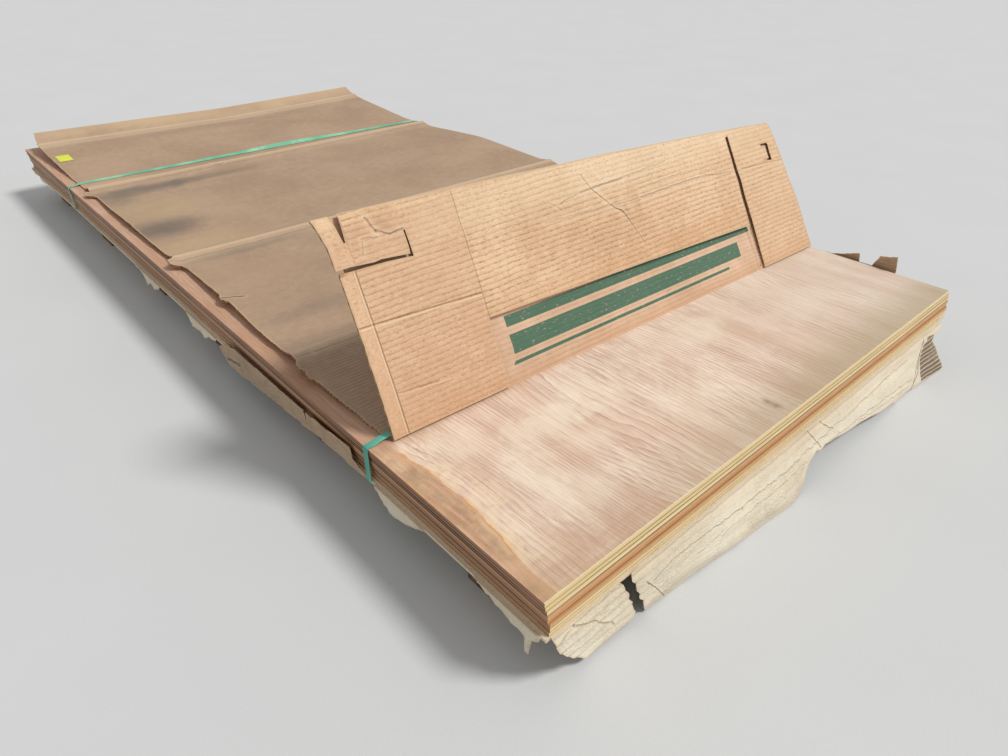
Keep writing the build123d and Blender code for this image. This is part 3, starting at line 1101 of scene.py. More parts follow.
class Blank:
    """A flat board blank: a fine grid that is trimmed, pierced, bent and thickened.

    Args:
        name: The piece's name.
        low: Its lowest corner on the flat pattern.
        high: Its highest corner there.
        cells: How many cells it has each way.
    """

    def __init__(self, name: str, low: Point2, high: Point2, cells: tuple[int, int]) -> None:
        """Adds the grid at its size and place."""
        deselect()
        middle = ((low[0] + high[0]) / 2, (low[1] + high[1]) / 2, 0.0)
        bpy.ops.mesh.primitive_grid_add(x_subdivisions=cells[0], y_subdivisions=cells[1], size=1.0)
        self.piece = bpy.context.object
        self.piece.name = self.piece.data.name = name
        self.cell = max((high[0] - low[0]) / cells[0], (high[1] - low[1]) / cells[1])
        bpy.ops.object.mode_set(mode="EDIT")
        bpy.ops.transform.resize(value=(high[0] - low[0], high[1] - low[1], 1.0))
        bpy.ops.transform.translate(value=middle)
        bpy.ops.object.mode_set(mode="OBJECT")

    def points(self) -> Array:
        """Reads the mesh's vertices.

        Returns:
            Their places.
        """
        flat = np.zeros(len(self.piece.data.vertices) * 3)
        self.piece.data.vertices.foreach_get("co", flat)
        return flat.reshape(-1, 3)

    def place(self, points: Array) -> None:
        """Moves the mesh's vertices."""
        self.piece.data.vertices.foreach_set("co", points.ravel())
        self.piece.data.update()

    def cut(self, outline: list[Point2], keep: bool) -> None:
        """Cuts along a closed outline with bisects, then drops what lies on one side.

        Args:
            outline: The outline's corners on the flat pattern.
            keep: Whether what lies within it is kept or dropped.
        """
        activate(self.piece)
        bpy.ops.object.mode_set(mode="EDIT")
        bpy.ops.mesh.select_mode(type="FACE")
        for start, stop in zip(outline, outline[1:] + outline[:1]):
            a, b = Vector((*start, 0.0)), Vector((*stop, 0.0))
            run = b - a
            if run.length < TOUCH:
                continue
            mesh = bmesh.from_edit_mesh(self.piece.data)
            reach = 1.6 * self.cell
            for face in mesh.faces:
                centre = face.calc_center_median() - a
                share = min(max(centre.dot(run) / run.length_squared, 0.0), 1.0)
                face.select_set((centre - share * run).length < reach)
            bmesh.update_edit_mesh(self.piece.data)
            if any(face.select for face in mesh.faces):
                bpy.ops.mesh.bisect(plane_co=a, plane_no=(-run.y, run.x, 0.0), threshold=TOUCH)
        mesh = bmesh.from_edit_mesh(self.piece.data)
        centres = np.array([face.calc_center_median()[:2] for face in mesh.faces])
        within = inside(centres, outline)
        for face, held in zip(mesh.faces, within):
            face.select_set(bool(held) != keep)
        bmesh.update_edit_mesh(self.piece.data)
        if (within != keep).any():
            bpy.ops.mesh.delete(type="FACE")
        bpy.ops.object.mode_set(mode="OBJECT")

    def bend(self, shape: Callable[[Array, Array], tuple], pattern: Callable | None = None) -> None:
        """Stores the flat pattern and the distance to the rim, then moves each point to its place.

        Args:
            shape: Gives X, Y and Z for arrays of places on the blank.
            pattern: Gives the flat pattern's two coordinates, where the blank isn't in metres.
        """
        mesh = self.piece.data
        flat = self.points()
        u, v = flat[:, 0], flat[:, 1]
        pattern_u, pattern_v = pattern(u, v) if pattern else (u, v)
        loops = np.zeros(len(mesh.loops), int)
        mesh.loops.foreach_get("vertex_index", loops)
        layer = mesh.uv_layers.active or mesh.uv_layers.new(name="board")
        layer.name = "board"
        corners = np.column_stack((pattern_u[loops], pattern_v[loops]))
        layer.data.foreach_set("uv", corners.astype(np.float32).ravel())
        place = np.column_stack(shape(u, v))
        counts = np.zeros(len(mesh.edges), int)
        edges = np.zeros(len(mesh.loops), int)
        mesh.loops.foreach_get("edge_index", edges)
        np.add.at(counts, edges, 1)
        ends = np.zeros(len(mesh.edges) * 2, int)
        mesh.edges.foreach_get("vertices", ends)
        rim = sorted(set(ends.reshape(-1, 2)[counts == 1].ravel().tolist()))
        tree = kdtree.KDTree(len(rim))
        for index in rim:
            tree.insert(place[index], index)
        tree.balance()
        away = np.array([tree.find(point)[2] for point in place], np.float32)
        attribute = mesh.attributes.new("rim", "FLOAT", "POINT")
        attribute.data.foreach_set("value", away)
        self.place(place)

    def thicken(self, thickness: float, offset: float = 1.0) -> Piece:
        """Gives the sheet its thickness, with its back and rim on the next material slots.

        Args:
            thickness: The board's thickness.
            offset: 1 to grow along the faces' normals, -1 against them.

        Returns:
            The piece.
        """
        activate(self.piece)
        solid = self.piece.modifiers.new("thickness", "SOLIDIFY")
        solid.thickness = thickness
        solid.offset = offset
        solid.use_even_offset = True
        solid.thickness_clamp = 2.0
        solid.material_offset = 1
        solid.material_offset_rim = 2
        for _ in range(3):
            self.piece.data.materials.append(None)
        bpy.ops.object.modifier_apply(modifier=solid.name)
        bpy.ops.object.shade_smooth_by_angle(angle=math.radians(SMOOTH_ANGLE))
        return self.piece


def dress(piece: Piece, *materials: Material) -> Piece:
    """Puts the materials in a piece's slots.

    Args:
        piece: The piece.
        materials: The slots' materials, in order.

    Returns:
        The piece.
    """
    while len(piece.data.materials) < len(materials):
        piece.data.materials.append(None)
    for index, material in enumerate(materials):
        piece.data.materials[index] = material
    return piece


def stand_for(piece: Piece, slot: str, *nodes: str) -> None:
    """Lets a finished piece ride on the stack in place of CAD nodes.

    Args:
        piece: The piece.
        slot: Its material slot's name; not used.
        nodes: The CAD nodes that it stands for.
    """
    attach(piece, BODY)
    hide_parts(*nodes)
    log.info("built %s: %d faces", piece.name, len(piece.data.polygons))


# ---- pieces


@dataclass
class Sheets:
    """The plywood sheets, which keep their CAD solids and get their veneer and plies.

    Attributes:
        ends: Each sheet's colour at its cut ends, from the bottom, painted as lit.
        flanks: Its colour along its cut sides, painted as shaded: darker than its ends.
        joints: How wide the painted shadow in the joint under it is, as a share of its thickness.
    """

    ends: tuple[Colour, ...] = (
        rgb(252, 234, 186),
        rgb(250, 228, 172),
        rgb(226, 176, 122),
        rgb(218, 160, 104),
        rgb(224, 170, 114),
        rgb(255, 238, 190),
        rgb(248, 224, 166),
        rgb(252, 230, 176),
    )
    flanks: tuple[Colour, ...] = (
        rgb(186, 142, 102),
        rgb(176, 130, 92),
        rgb(184, 136, 98),
        rgb(172, 126, 88),
        rgb(192, 144, 104),
        rgb(188, 138, 100),
        rgb(182, 132, 94),
        rgb(170, 120, 84),
    )
    joints: tuple[float, ...] = (0.04, 0.2, 0.1, 0.36, 0.08, 0.4, 0.42, 0.24)

    def build(self) -> None:
        """Dresses each sheet."""
        for index, (end, flank, joint) in enumerate(zip(self.ends, self.flanks, self.joints)):
            name = f"sheet_{index + 1:02d}"
            finish = PlywoodFinish(index + 1, end, flank, joint, exposed=index + 1 == len(self.ends))
            dress(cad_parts[name], finish.build())
            log.info("dressed %s", name)


@dataclass
class Bearers:
    """The square timbers, which keep their CAD solids.

    Attributes:
        count: How many there are.
    """

    count: int = 6

    def build(self) -> None:
        """Dresses each bearer."""
        timber = TimberFinish().build()
        for number in range(1, self.count + 1):
            dress(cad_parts[f"bearer_{number:02d}"], timber)
            log.info("dressed bearer_%02d", number)


@dataclass
class Flap:
    """Lines of the raised flap's front face, by the foot and the top at its left and right.

    Attributes:
        left: X of its left edge.
        right: X of its right edge.
        feet: Y of its foot at the left and the right edge.
        leans: How far its top leans back there.
        rises: How far it rises over the top sheet there.
    """

    left: float = -0.571
    right: float = 0.610
    feet: Point2 = (-0.726, -0.768)
    leans: Point2 = (0.146, 0.182)
    rises: Point2 = (0.306, 0.258)

    def share(self, x: Array) -> Array:
        """Share of the way across."""
        return (x - self.left) / (self.right - self.left)

    def rise(self, x: Array) -> Array:
        """Height of the top over the top sheet."""
        return self.rises[0] + self.share(x) * (self.rises[1] - self.rises[0])

    def foot(self, x: Array) -> Array:
        """Y of the foot."""
        return self.feet[0] + self.share(x) * (self.feet[1] - self.feet[0])

    def lean(self, x: Array) -> Array:
        """How far back the top stands from the foot."""
        return self.leans[0] + self.share(x) * (self.leans[1] - self.leans[0])


@dataclass
class Cover:
    """The creased cover with the back layer of its raised flap.

    Attributes:
        flap: The raised flap's lines.
        thickness: The board's thickness.
        left: X of its left edge before the tears.
        right: X of its right edge.
        fold_in: How far the back layer stands behind the flap's front face.
        crest_drop: How far its top stays under the facing's.
        pitch: The longest step of its mesh along.
        cells: Its mesh's cells across.
        lines: The bent line of its underside at its left edge, midway and at its right edge, in mm.
        torn_left: Its torn left edge, as (y, x) in mm.
        worn_right: Its right edge, as (y, x) in mm.
        straps: Where bands press it flat.
        press: How near to a band it lies flat, and over how much more its bulges come back.
        heave: How high those bulges are.
        ridges: Stations of its raised creases, and how high each stands out.
        bend: How many stations on either side each bend is rounded over.
        curls: Lifted tips of its torn edge, by Y, width and height.
        curl_x: X of those tips.
        knee: Middle of the kink near the far band.
    """

    flap: Flap
    thickness: float = 0.004
    left: float = -0.588
    right: float = 0.604
    fold_in: float = 0.0043
    crest_drop: float = 0.006
    pitch: float = 0.007
    cells: int = 110
    lines: tuple[tuple[Point2, ...], ...] = (
        (
            (-690, 0), (-560, 5), (-420, 12), (-380, 6), (-160, 12), (80, 5), (125, 13), (170, 5), (442, 10),
            (715, 1), (760, 9), (795, 0), (900, 0), (990, 5), (1230, 24), (1252, 31), (1274, 29), (1345, 46),
        ),
        (
            (-690, 0), (-565, 2), (-427, 8), (-387, 3), (-160, 4), (75, 1), (120, 9), (165, 2), (445, 4),
            (725, 0), (778, 7), (812, 0), (900, 0), (995, 2), (1235, 16), (1258, 22), (1280, 21), (1348, 37),
        ),
        (
            (-690, 0), (-580, 4), (-435, 12), (-395, 5), (-160, 10), (65, 4), (112, 13), (158, 6), (449, 18),
            (740, 1), (792, 9), (822, 0), (910, 0), (1000, 5), (1245, 25), (1268, 32), (1290, 31), (1340, 50),
        ),
    )
    torn_left: tuple[Point2, ...] = (
        (-860, -571), (-728, -571), (-690, -577), (-515, -584), (-505, -590), (-492, -590), (-484, -583),
        (-476, -590), (-462, -590), (-440, -580), (-290, -581), (-160, -576), (-136, -584), (-120, -577),
        (60, -573), (82, -578), (90, -596), (114, -597), (120, -579), (260, -582), (560, -583), (690, -579),
        (700, -584), (708, -599), (730, -598), (736, -581), (900, -582), (1120, -586), (1260, -587),
        (1352, -572),
    )
    worn_right: tuple[Point2, ...] = (
        (-860, 604), (-560, 603), (-480, 599), (20, 603), (460, 597), (940, 603), (1200, 599), (1352, 604),
    )
    straps: tuple[float, ...] = (STRAP_NEAR_Y, STRAP_FAR_Y)
    press: Point2 = (0.03, 0.12)
    heave: float = 0.0016
    ridges: tuple[Point2, ...] = (
        (4.0, 0.0018), (8.0, 0.0026), (12.0, 0.0026), (16.1, 0.0014), (17.0, 0.0018),
    )
    bend: float = 0.12
    curls: tuple[Point3, ...] = (
        (0.72, 0.014, 0.007), (0.102, 0.016, 0.008), (-0.498, 0.01, 0.005), (-0.468, 0.009, 0.005),
    )
    curl_x: float = -0.592
    knee: Point2 = (-0.2, 0.745)

    def __post_init__(self) -> None:
        """Works out the bent lines in metres, the rows of the mesh and the flat length along."""
        lines = []
        for x, line in zip((self.left, (self.left + self.right) / 2, self.right), self.lines):
            at = np.array(x)
            tilt = math.atan2(self.flap.lean(at), self.flap.rise(at))
            fold = self.flap.foot(at) + self.fold_in / math.cos(tilt)
            reach = 1 - self.crest_drop / self.flap.rise(at)
            crest = (fold + self.flap.lean(at) * reach, self.flap.rise(at) * reach)
            lines.append([crest, (fold, 0.0)] + [(y * MM, z * MM) for y, z in line])
        self.bent = np.array(lines, float)
        lengths = np.linalg.norm(np.diff(self.bent[1], axis=0), axis=1)
        steps = [max(1, math.ceil(length / self.pitch)) for length in lengths]
        rows = [np.linspace(i, i + 1, count, endpoint=False) for i, count in enumerate(steps)]
        self.rows = np.append(np.concatenate(rows), len(lengths))
        self.travel = np.concatenate(([0.0], np.cumsum(lengths)))
        self.stations = np.arange(len(self.travel))

    def blended(self, share: Array, axis: int, t: Array) -> Array:
        """Y or height of the bent lines at a share of the way across.

        Args:
            share: Shares across, from 0 to 1.
            axis: 0 for Y, 1 for the height over the top sheet.
            t: Stations along.

        Returns:
            The place at each point.
        """
        left, middle, right = (np.interp(t, self.stations, line[:, axis]) for line in self.bent)
        low, high = np.clip(share * 2, 0, 1), np.clip(share * 2 - 1, 0, 1)
        return np.where(share < 0.5, left + (middle - left) * low, middle + (right - middle) * high)

    def on_board(self, x: float, y: float) -> Point2:
        """Finds a place of the lying part on the flat pattern.

        Args:
            x: Its place across.
            y: Its place along.

        Returns:
            The flat pattern's point.
        """
        share = (x - self.left) / (self.right - self.left)
        ways = self.blended(np.full(len(self.stations) - 1, share), 0, self.stations[1:].astype(float))
        return share * (self.right - self.left), float(np.interp(y, ways, self.travel[1:]))

    def shape(self, u: Array, v: Array) -> tuple:
        """Bends the blank.

        Args:
            u: Shares across.
            v: Rows along.

        Returns:
            X, Y and Z of each point.
        """
        t = np.interp(v, np.arange(len(self.rows)), self.rows)
        y = self.blended(u, 0, t)
        lying = t > 1.0
        sharp = self.blended(u, 1, t)
        before, after = (self.blended(u, 1, np.clip(t + step, 2, None)) for step in (-self.bend, self.bend))
        soft = (sharp * 2 + before + after) / 4
        z = np.where(t > 2.2, soft, sharp)
        for station, rise in self.ridges:
            stray = wander(u, v * 0, 9.0, 1.0, station) * 0.06
            z = z + np.where(lying, rise * np.exp(-((t - station - stray) / 0.14) ** 2), 0.0)
        fine = wander(y, y * 0, 110.0, 1.0, 3.7) * 0.0011 + wander(y, y * 0, 31.0, 1.0, 8.1) * 0.0009
        left, right = read(self.torn_left, y) + fine, read(self.worn_right, y) + fine * 0.3
        stands = self.flap.left + np.interp(z, [0.0, 0.028, 0.034], [0.0, 0.002, 0.015])
        stands = stands + wander(z, z * 0, 60.0, 1.0, 2.0) * 0.0015
        x = np.where(lying, left, stands)
        x = x + u * (np.where(lying, right, self.right) - x)
        calm = np.where(lying, 1.0, 0.0)
        for strap in self.straps:
            calm *= np.clip((np.abs(y - strap) - self.press[0]) / self.press[1], 0, 1)
        heave = (wander(x, y, 2.3, 3.4, 1.0) + 0.7) * self.heave
        heave += (wander(x, y, 7.0, 9.0, 5.0) + 0.5) * 0.0006
        curl = np.zeros_like(y)
        for place, width, rise in self.curls:
            curl += hump(x - self.curl_x, 0.011) * hump(y - place, width) * rise
        beside, beyond = x - self.knee[0], y - self.knee[1]
        knee = hump(beside + beyond * 0.9, 0.011) * hump(beyond, 0.028) * 0.005
        z = z + np.maximum(heave, 0.0) * calm + np.where(lying, curl + knee, 0.0)
        bow = np.where(lying, 0.0, wander(x, z, 3.0, 5.0, 2.0) * 0.0006)
        return x, y + bow, z + STACK_TOP

    def pattern(self, u: Array, v: Array) -> tuple:
        """The flat pattern's coordinates of the blank's points."""
        t = np.interp(v, np.arange(len(self.rows)), self.rows)
        return u * (self.right - self.left), np.interp(t, self.stations, self.travel)

    def build(self) -> Piece:
        """Models the cover, dresses it and lets it stand for its CAD solid.

        Returns:
            The cover.
        """
        count = len(self.rows) - 1
        blank = Blank("cover_board", (0.0, 0.0), (1.0, float(count)), (self.cells, count))
        blank.bend(self.shape, self.pattern)
        piece = blank.thicken(self.thickness, 1.0)
        self.dress(piece)
        stand_for(piece, "cover_board", "top_cover")
        return piece

    def creases(self) -> tuple[Score, ...]:
        """Lists the crests of the creases, pale with wear and painted highlight, the painted shade lines
        beside them and the torn slit, painted near black as the shadow in it.

        Returns:
            A score for each.
        """
        width = self.right - self.left
        # worn is the crests' pale tone, partly wear and partly painted highlight; shade is painted shade.
        worn, shade = rgb(214, 184, 150), rgb(118, 92, 72)
        made = []
        for station, half, strength in (
            (8, 0.013, 0.6), (12, 0.013, 0.6), (17, 0.009, 0.6), (16, 0.006, 0.4), (4, 0.01, 0.45),
        ):
            place = self.travel[station]
            made.append(Score((0.0, place), (width, place), half, -0.0006, strength, 0.006, worn, 0.1))
        for station, beside in ((8, -0.021), (12, -0.021), (8, 0.02), (12, 0.017), (17, 0.012), (4, -0.017)):
            place = self.travel[station] + beside
            made.append(Score((0.0, place), (width, place), 0.0035, 0.0006, 0.3, 0.008, shade, 0.0))
        # The slit's near-black line paints the shadow in it; the other two paint shade along a kink and a
        # crease.
        for start, end, *look in (
            ((-0.592, -0.132), (-0.553, -0.156), 0.0022, 0.002, 0.95, 0.006, rgb(40, 28, 22)),
            ((-0.3, 0.735), (-0.19, 0.765), 0.003, 0.0012, 0.3, 0.01, shade),
            ((-0.55, -0.44), (0.1, -0.46), 0.003, 0.0008, 0.3, 0.01, shade),
        ):
            made.append(Score(self.on_board(*start), self.on_board(*end), *look))
        return tuple(made)

    def dress(self, piece: Piece) -> None:
        """Gives the cover its brown top, its printed tan underside and its fluted rim.

        Args:
            piece: The cover.
        """
        grey, tan = rgb(112, 104, 94), rgb(206, 176, 138)
        marks = tuple(
            Mark((x, y, STACK_TOP), (across, along, 1.0), tint, strength)
            for x, y, across, along, tint, strength in (
                (-0.47, 0.672, 0.17, 0.06, grey, 0.8),
                (-0.3, 0.68, 0.22, 0.035, grey, 0.5),
                (-0.55, 0.62, 0.07, 0.1, grey, 0.45),
                (-0.525, 0.33, 0.12, 0.075, grey, 0.8),
                (-0.42, 0.085, 0.2, 0.02, grey, 0.6),
                (-0.45, -0.285, 0.14, 0.035, grey, 0.4),
                (-0.5, 0.48, 0.2, 0.12, rgb(190, 164, 128), 0.7),
                (-0.5, 0.17, 0.22, 0.09, rgb(196, 168, 130), 0.6),
                (-0.5, -0.06, 0.2, 0.12, rgb(186, 158, 126), 0.5),
                (-0.52, 0.79, 0.2, 0.05, tan, 0.5),
                (0.0, 1.335, 0.95, 0.08, rgb(212, 182, 146), 0.75),
                (0.0, 1.2, 0.5, 0.05, rgb(150, 122, 100), 0.3),
            )
        )
        top = BoardFinish(
            "cover_board", rgb(187, 159, 132), rgb(170, 142, 118), rgb(128, 102, 82),
            flute=FLUTE, lines=0.42, relief=0.0008, specks=0.12, marks=marks, scores=self.creases(),
        )
        fold, green = self.travel[1], rgb(54, 108, 88)
        bars = (
            Patch((0.25, fold - 0.112), (0.985, fold - 0.092), green),
            Patch((0.25, fold - 0.08), (0.93, fold - 0.046), green),
            Patch((0.25, fold - 0.036), (0.88, fold - 0.029), green),
        )
        under = BoardFinish(
            "cover_underside", rgb(230, 196, 166), rgb(208, 172, 142), rgb(150, 110, 80),
            lines=0.4, relief=0.0009, patches=bars,
            marks=(Mark((0.0, -0.75, STACK_TOP), (0.9, 1.0, 0.025), rgb(204, 156, 116), 0.5),),
        )
        rim = FluteEdgeFinish("cover_flutes", rgb(190, 156, 120), rgb(92, 66, 48))
        dress(piece, top.build(), under.build(), rim.build())


@dataclass
class Facing:
    """The scuffed facing in front of the raised flap, with its window, slot, slits and tears.

    Attributes:
        flap: The raised flap's lines.
        thickness: The board's thickness.
        foot: Height of its foot over the top sheet.
        cell: Its mesh's cell.
        window: The cut-away middle of its foot, in mm from its left edge and over the top sheet.
        slot: The slot beside the window.
        tab_slit: The slit under the torn tab.
        hand_hole: The small cut-out near its right end.
        corner_tear: The wedge torn into its left corner.
        tab: Right end and foot of the torn tab, which stands out.
        corner: Right end and foot of the torn corner, which leans back.
        dents: Its dents, by their middle, slope, width, height's middle, height and depth.
        dent: How deep they are at most.
    """

    flap: Flap
    thickness: float = 0.004
    foot: float = 0.0034
    cell: float = 0.0065
    window: tuple[Point2, ...] = ((226, -30), (226, 110), (970, 87), (970, -30))
    slot: tuple[Point2, ...] = ((969, -30), (972, 86), (989, 251), (999, 253), (985, 86), (981, -30))
    tab_slit: tuple[Point2, ...] = (
        (-10, 233), (-10, 238), (20, 237.5), (60, 234), (70, 235), (123, 230), (123, 262), (126.5, 262),
        (127, 226), (80, 230), (40, 231.5),
    )
    hand_hole: tuple[Point2, ...] = (
        (1112, 221.5), (1139, 220.5), (1142, 217), (1137, 187), (1108, 189.5), (1108.5, 192.5), (1127, 191.5),
        (1131, 216.5), (1113, 218),
    )
    corner_tear: tuple[Point2, ...] = ((14, 330), (25, 330), (27, 300), (25, 268), (22, 268), (20, 290))
    tab: Point2 = (0.1245, 0.2325)
    corner: Point2 = (0.022, 0.268)
    dents: tuple[tuple[float, ...], ...] = (
        (0.085, 0.272, 0.8, 0.012, 0.272, 0.03, 1.0),
        (0.575, 0.21, 0.8, 0.007, 0.2, 0.045, 0.7),
        (0.46, 0.215, 0.0, 0.05, 0.215, 0.007, 0.6),
    )
    dent: float = 0.004

    def shape(self, u: Array, v: Array) -> tuple:
        """Bends the blank.

        Args:
            u: Places across from the left edge.
            v: Heights over the top sheet.

        Returns:
            X, Y and Z of each point.
        """
        width = self.flap.right - self.flap.left
        x = u + self.flap.left
        rise = self.flap.rise(x)
        up = v / rise
        pitch = np.arctan2(rise, self.flap.lean(x))
        bulge = np.sin(np.clip(up, 0, 1) * np.pi) * np.interp(u, [0, 0.035, width], [0.007, 0.003, 0.004])
        bulge += (wander(u, v, 5.0, 16.0, 4.0) + 0.2) * 0.0016 * np.clip(up * 4, 0, 1)
        rumples = wander(u, v, 3.5, 46.0, 9.0) * 0.0008 + wander(u, v, 17.0, 30.0, 6.0) * 0.0006
        bulge += rumples * np.clip(up * 6, 0, 1)
        dented = np.zeros_like(u)
        for across, high, slope, width_at, middle, tall, deep in self.dents:
            dented += hump((u - across) + (v - high) * slope, width_at) * hump(v - middle, tall) * deep
        bulge -= dented * self.dent
        tab = (u < self.tab[0]) & (v > self.tab[1])
        bulge += np.where(tab, 0.0045 * (1 - u / self.tab[0]) + 0.0015, 0.0)
        corner = (u < self.corner[0]) & (v > self.corner[1])
        bulge += np.where(corner, -0.008 * np.clip((v - self.corner[1]) / 0.04, 0, 1), 0.0)
        bulge -= 0.0035 * np.clip((up - 0.955) / 0.045, 0, 1) ** 2
        ragged = wander(v, v * 0, 40.0, 1.0, 5.0) * 0.0007 + wander(v, v * 0, 170.0, 1.0, 6.0) * 0.0003
        folded = np.where(v > 0.236, 0.005 + 0.006 * np.clip((v - 0.27) / 0.04, 0, 1), 0.0)
        aside = np.clip(1 - u / 0.02, 0, 1) * (ragged + folded)
        arch = 0.006 * 4 * (u / width) * (1 - u / width) * np.clip(up, 0, 1) ** 2
        y = self.flap.foot(x) + self.flap.lean(x) * up - bulge * np.sin(pitch)
        nibbled = wander(u, u * 0, 9.0, 1.0, 3.0) * 0.0012 * np.clip(up, 0, 1) ** 6
        z = STACK_TOP + v + arch + bulge * np.cos(pitch) + nibbled
        return x - aside, y, z

    def build(self) -> None:
        """Models the facing, dresses it and lets it stand for its CAD solid."""
        width = self.flap.right - self.flap.left
        cells = (round(width / self.cell), round(self.flap.rises[0] / self.cell))
        blank = Blank("flap_board", (0.0, 0.0), (width, 1.0), cells)
        points = blank.points()
        points[:, 1] = self.foot + points[:, 1] * (self.flap.rise(points[:, 0] + self.flap.left) - self.foot)
        blank.place(points)
        blank.cell = self.cell
        for outline in (self.window, self.slot, self.tab_slit, self.hand_hole, self.corner_tear):
            blank.cut(metres(outline), keep=False)
        blank.bend(self.shape)
        piece = blank.thicken(self.thickness, -1.0)
        self.dress(piece)
        stand_for(piece, "facing_board", "flap_facing")

    def dress(self, piece: Piece) -> None:
        """Gives the facing its scuffed tan liner.

        Args:
            piece: The facing.
        """
        # soft and the darker browns paint shade in creases, cracks and seams; worn paints the pale crest
        # beside them, partly wear and partly painted highlight.
        soft, worn = rgb(168, 120, 82), rgb(244, 214, 176)
        # Rows left at the default tint paint the shade in the crack and round the torn tab.
        rows = (
            ((0.0, 0.1605), (0.224, 0.148), 0.0016, 0.0007, 0.6, 0.001, rgb(136, 92, 60), 0.0),
            ((0.0, 0.157), (0.224, 0.1445), 0.0026, -0.0006, 0.6, 0.001, worn, 0.0),
            ((0.028, 0.062), (0.1, 0.055), 0.0018, 0.0005, 0.4, 0.003, soft, 0.0),
            ((0.028, 0.059), (0.14, 0.0485), 0.0026, -0.0004, 0.35, 0.003, worn, 0.0),
            ((1.01, 0.1895), (1.181, 0.1815), 0.0014, 0.0006, 0.5, 0.001, soft, 0.0),
            ((1.01, 0.186), (1.181, 0.178), 0.0022, -0.0004, 0.4, 0.001, worn, 0.0),
            ((0.0265, 0.0), (0.0265, 0.232), 0.0013, 0.0007, 0.6, 0.0006, rgb(136, 92, 60), 0.0),
            ((0.0235, 0.0), (0.0235, 0.232), 0.0022, -0.0006, 0.5, 0.0006, worn, 0.0),
            ((0.517, 0.262), (0.5355, 0.234), 0.0012, 0.0008, 0.5, 0.004),
            ((0.5355, 0.234), (0.572, 0.203), 0.0014, 0.001, 0.6, 0.005),
            ((0.572, 0.203), (0.5985, 0.187), 0.0018, 0.0012, 0.75, 0.006),
            ((0.5985, 0.187), (0.609, 0.1695), 0.0014, 0.001, 0.65, 0.004),
            ((0.609, 0.1695), (0.63, 0.1265), 0.0012, 0.0008, 0.5, 0.005),
            ((0.45, 0.23), (0.504, 0.2364), 0.0018, 0.0008, 0.35, 0.006, soft),
            ((0.504, 0.2364), (0.62, 0.2385), 0.002, 0.0012, 0.5, 0.005, soft, 0.3),
            ((0.62, 0.2385), (0.76, 0.2435), 0.0022, 0.0008, 0.3, 0.007, soft),
            ((0.594, 0.201), (0.658, 0.1998), 0.0018, 0.0008, 0.4, 0.005, soft),
            ((0.658, 0.1998), (0.85, 0.2005), 0.0022, 0.0012, 0.5, 0.004, soft, 0.3),
            ((0.85, 0.2005), (0.975, 0.19), 0.0018, 0.0008, 0.35, 0.005, soft),
            ((0.4, 0.21), (0.594, 0.201), 0.0026, 0.0006, 0.25, 0.006, soft),
            ((0.66, 0.214), (0.8, 0.216), 0.0016, 0.0006, 0.3, 0.006, soft),
            ((0.42, 0.238), (0.45, 0.218), 0.0018, 0.0005, 0.3, 0.006, soft),
            ((0.068, 0.29), (0.078, 0.272), 0.0026, 0.0008, 0.5, 0.006),
            ((0.078, 0.272), (0.1, 0.262), 0.0022, 0.0008, 0.5, 0.008),
            ((0.1, 0.262), (0.125, 0.264), 0.0016, 0.0006, 0.55, 0.004),
            ((0.05, 0.2655), (0.078, 0.264), 0.002, 0.0005, 0.35, 0.006, soft),
            ((0.045, 0.247), (0.05, 0.262), 0.0016, 0.0005, 0.35, 0.004, soft),
            ((0.2265, 0.104), (0.2285, 0.292), 0.0014, 0.0006, 0.5, 0.0012, soft, 0.0),
            ((0.2265, 0.0), (0.2265, 0.104), 0.0012, 0.0006, 0.5, 0.0012, soft, 0.2),
            ((0.0, 0.3), (1.18, 0.262), 0.003, 0.0004, 0.12, 0.006, soft, 0.0),
        )
        scores = tuple(Score(*row) for row in rows)
        panels = (
            Patch((-0.01, -0.01), (0.2268, 0.29), rgb(214, 172, 140), 0.4, 0.2),
            Patch((0.992, -0.01), (1.2, 0.3), rgb(224, 190, 154), 0.35, 0.2),
        )
        marks = (
            Mark((0.0, -0.75, STACK_TOP), (0.9, 1.0, 0.04), rgb(204, 150, 104), 0.75),
            Mark((0.1, -0.6, STACK_TOP + 0.27), (0.8, 1.0, 0.06), rgb(242, 218, 184), 0.6),
            Mark((-0.5, -0.7, STACK_TOP + 0.27), (0.1, 1.0, 0.04), rgb(196, 150, 106), 0.5),
            Mark((0.1, -0.7, STACK_TOP + 0.11), (0.5, 1.0, 0.03), rgb(210, 160, 116), 0.4),
        )
        front = BoardFinish(
            "facing_board", rgb(238, 204, 166), rgb(212, 172, 134), rgb(148, 102, 66),
            flute=FLUTE, relief=0.0011, lines=0.9, specks=0.5, pressed=0.0265, grit=0.5,
            scores=scores, marks=marks, patches=panels,
        )
        back = BoardFinish("facing_back", rgb(196, 164, 132), rgb(166, 134, 104), rgb(120, 90, 64))
        rim = FluteEdgeFinish("facing_flutes", rgb(214, 174, 132), rgb(140, 102, 70))
        dress(piece, front.build(), back.build(), rim.build())


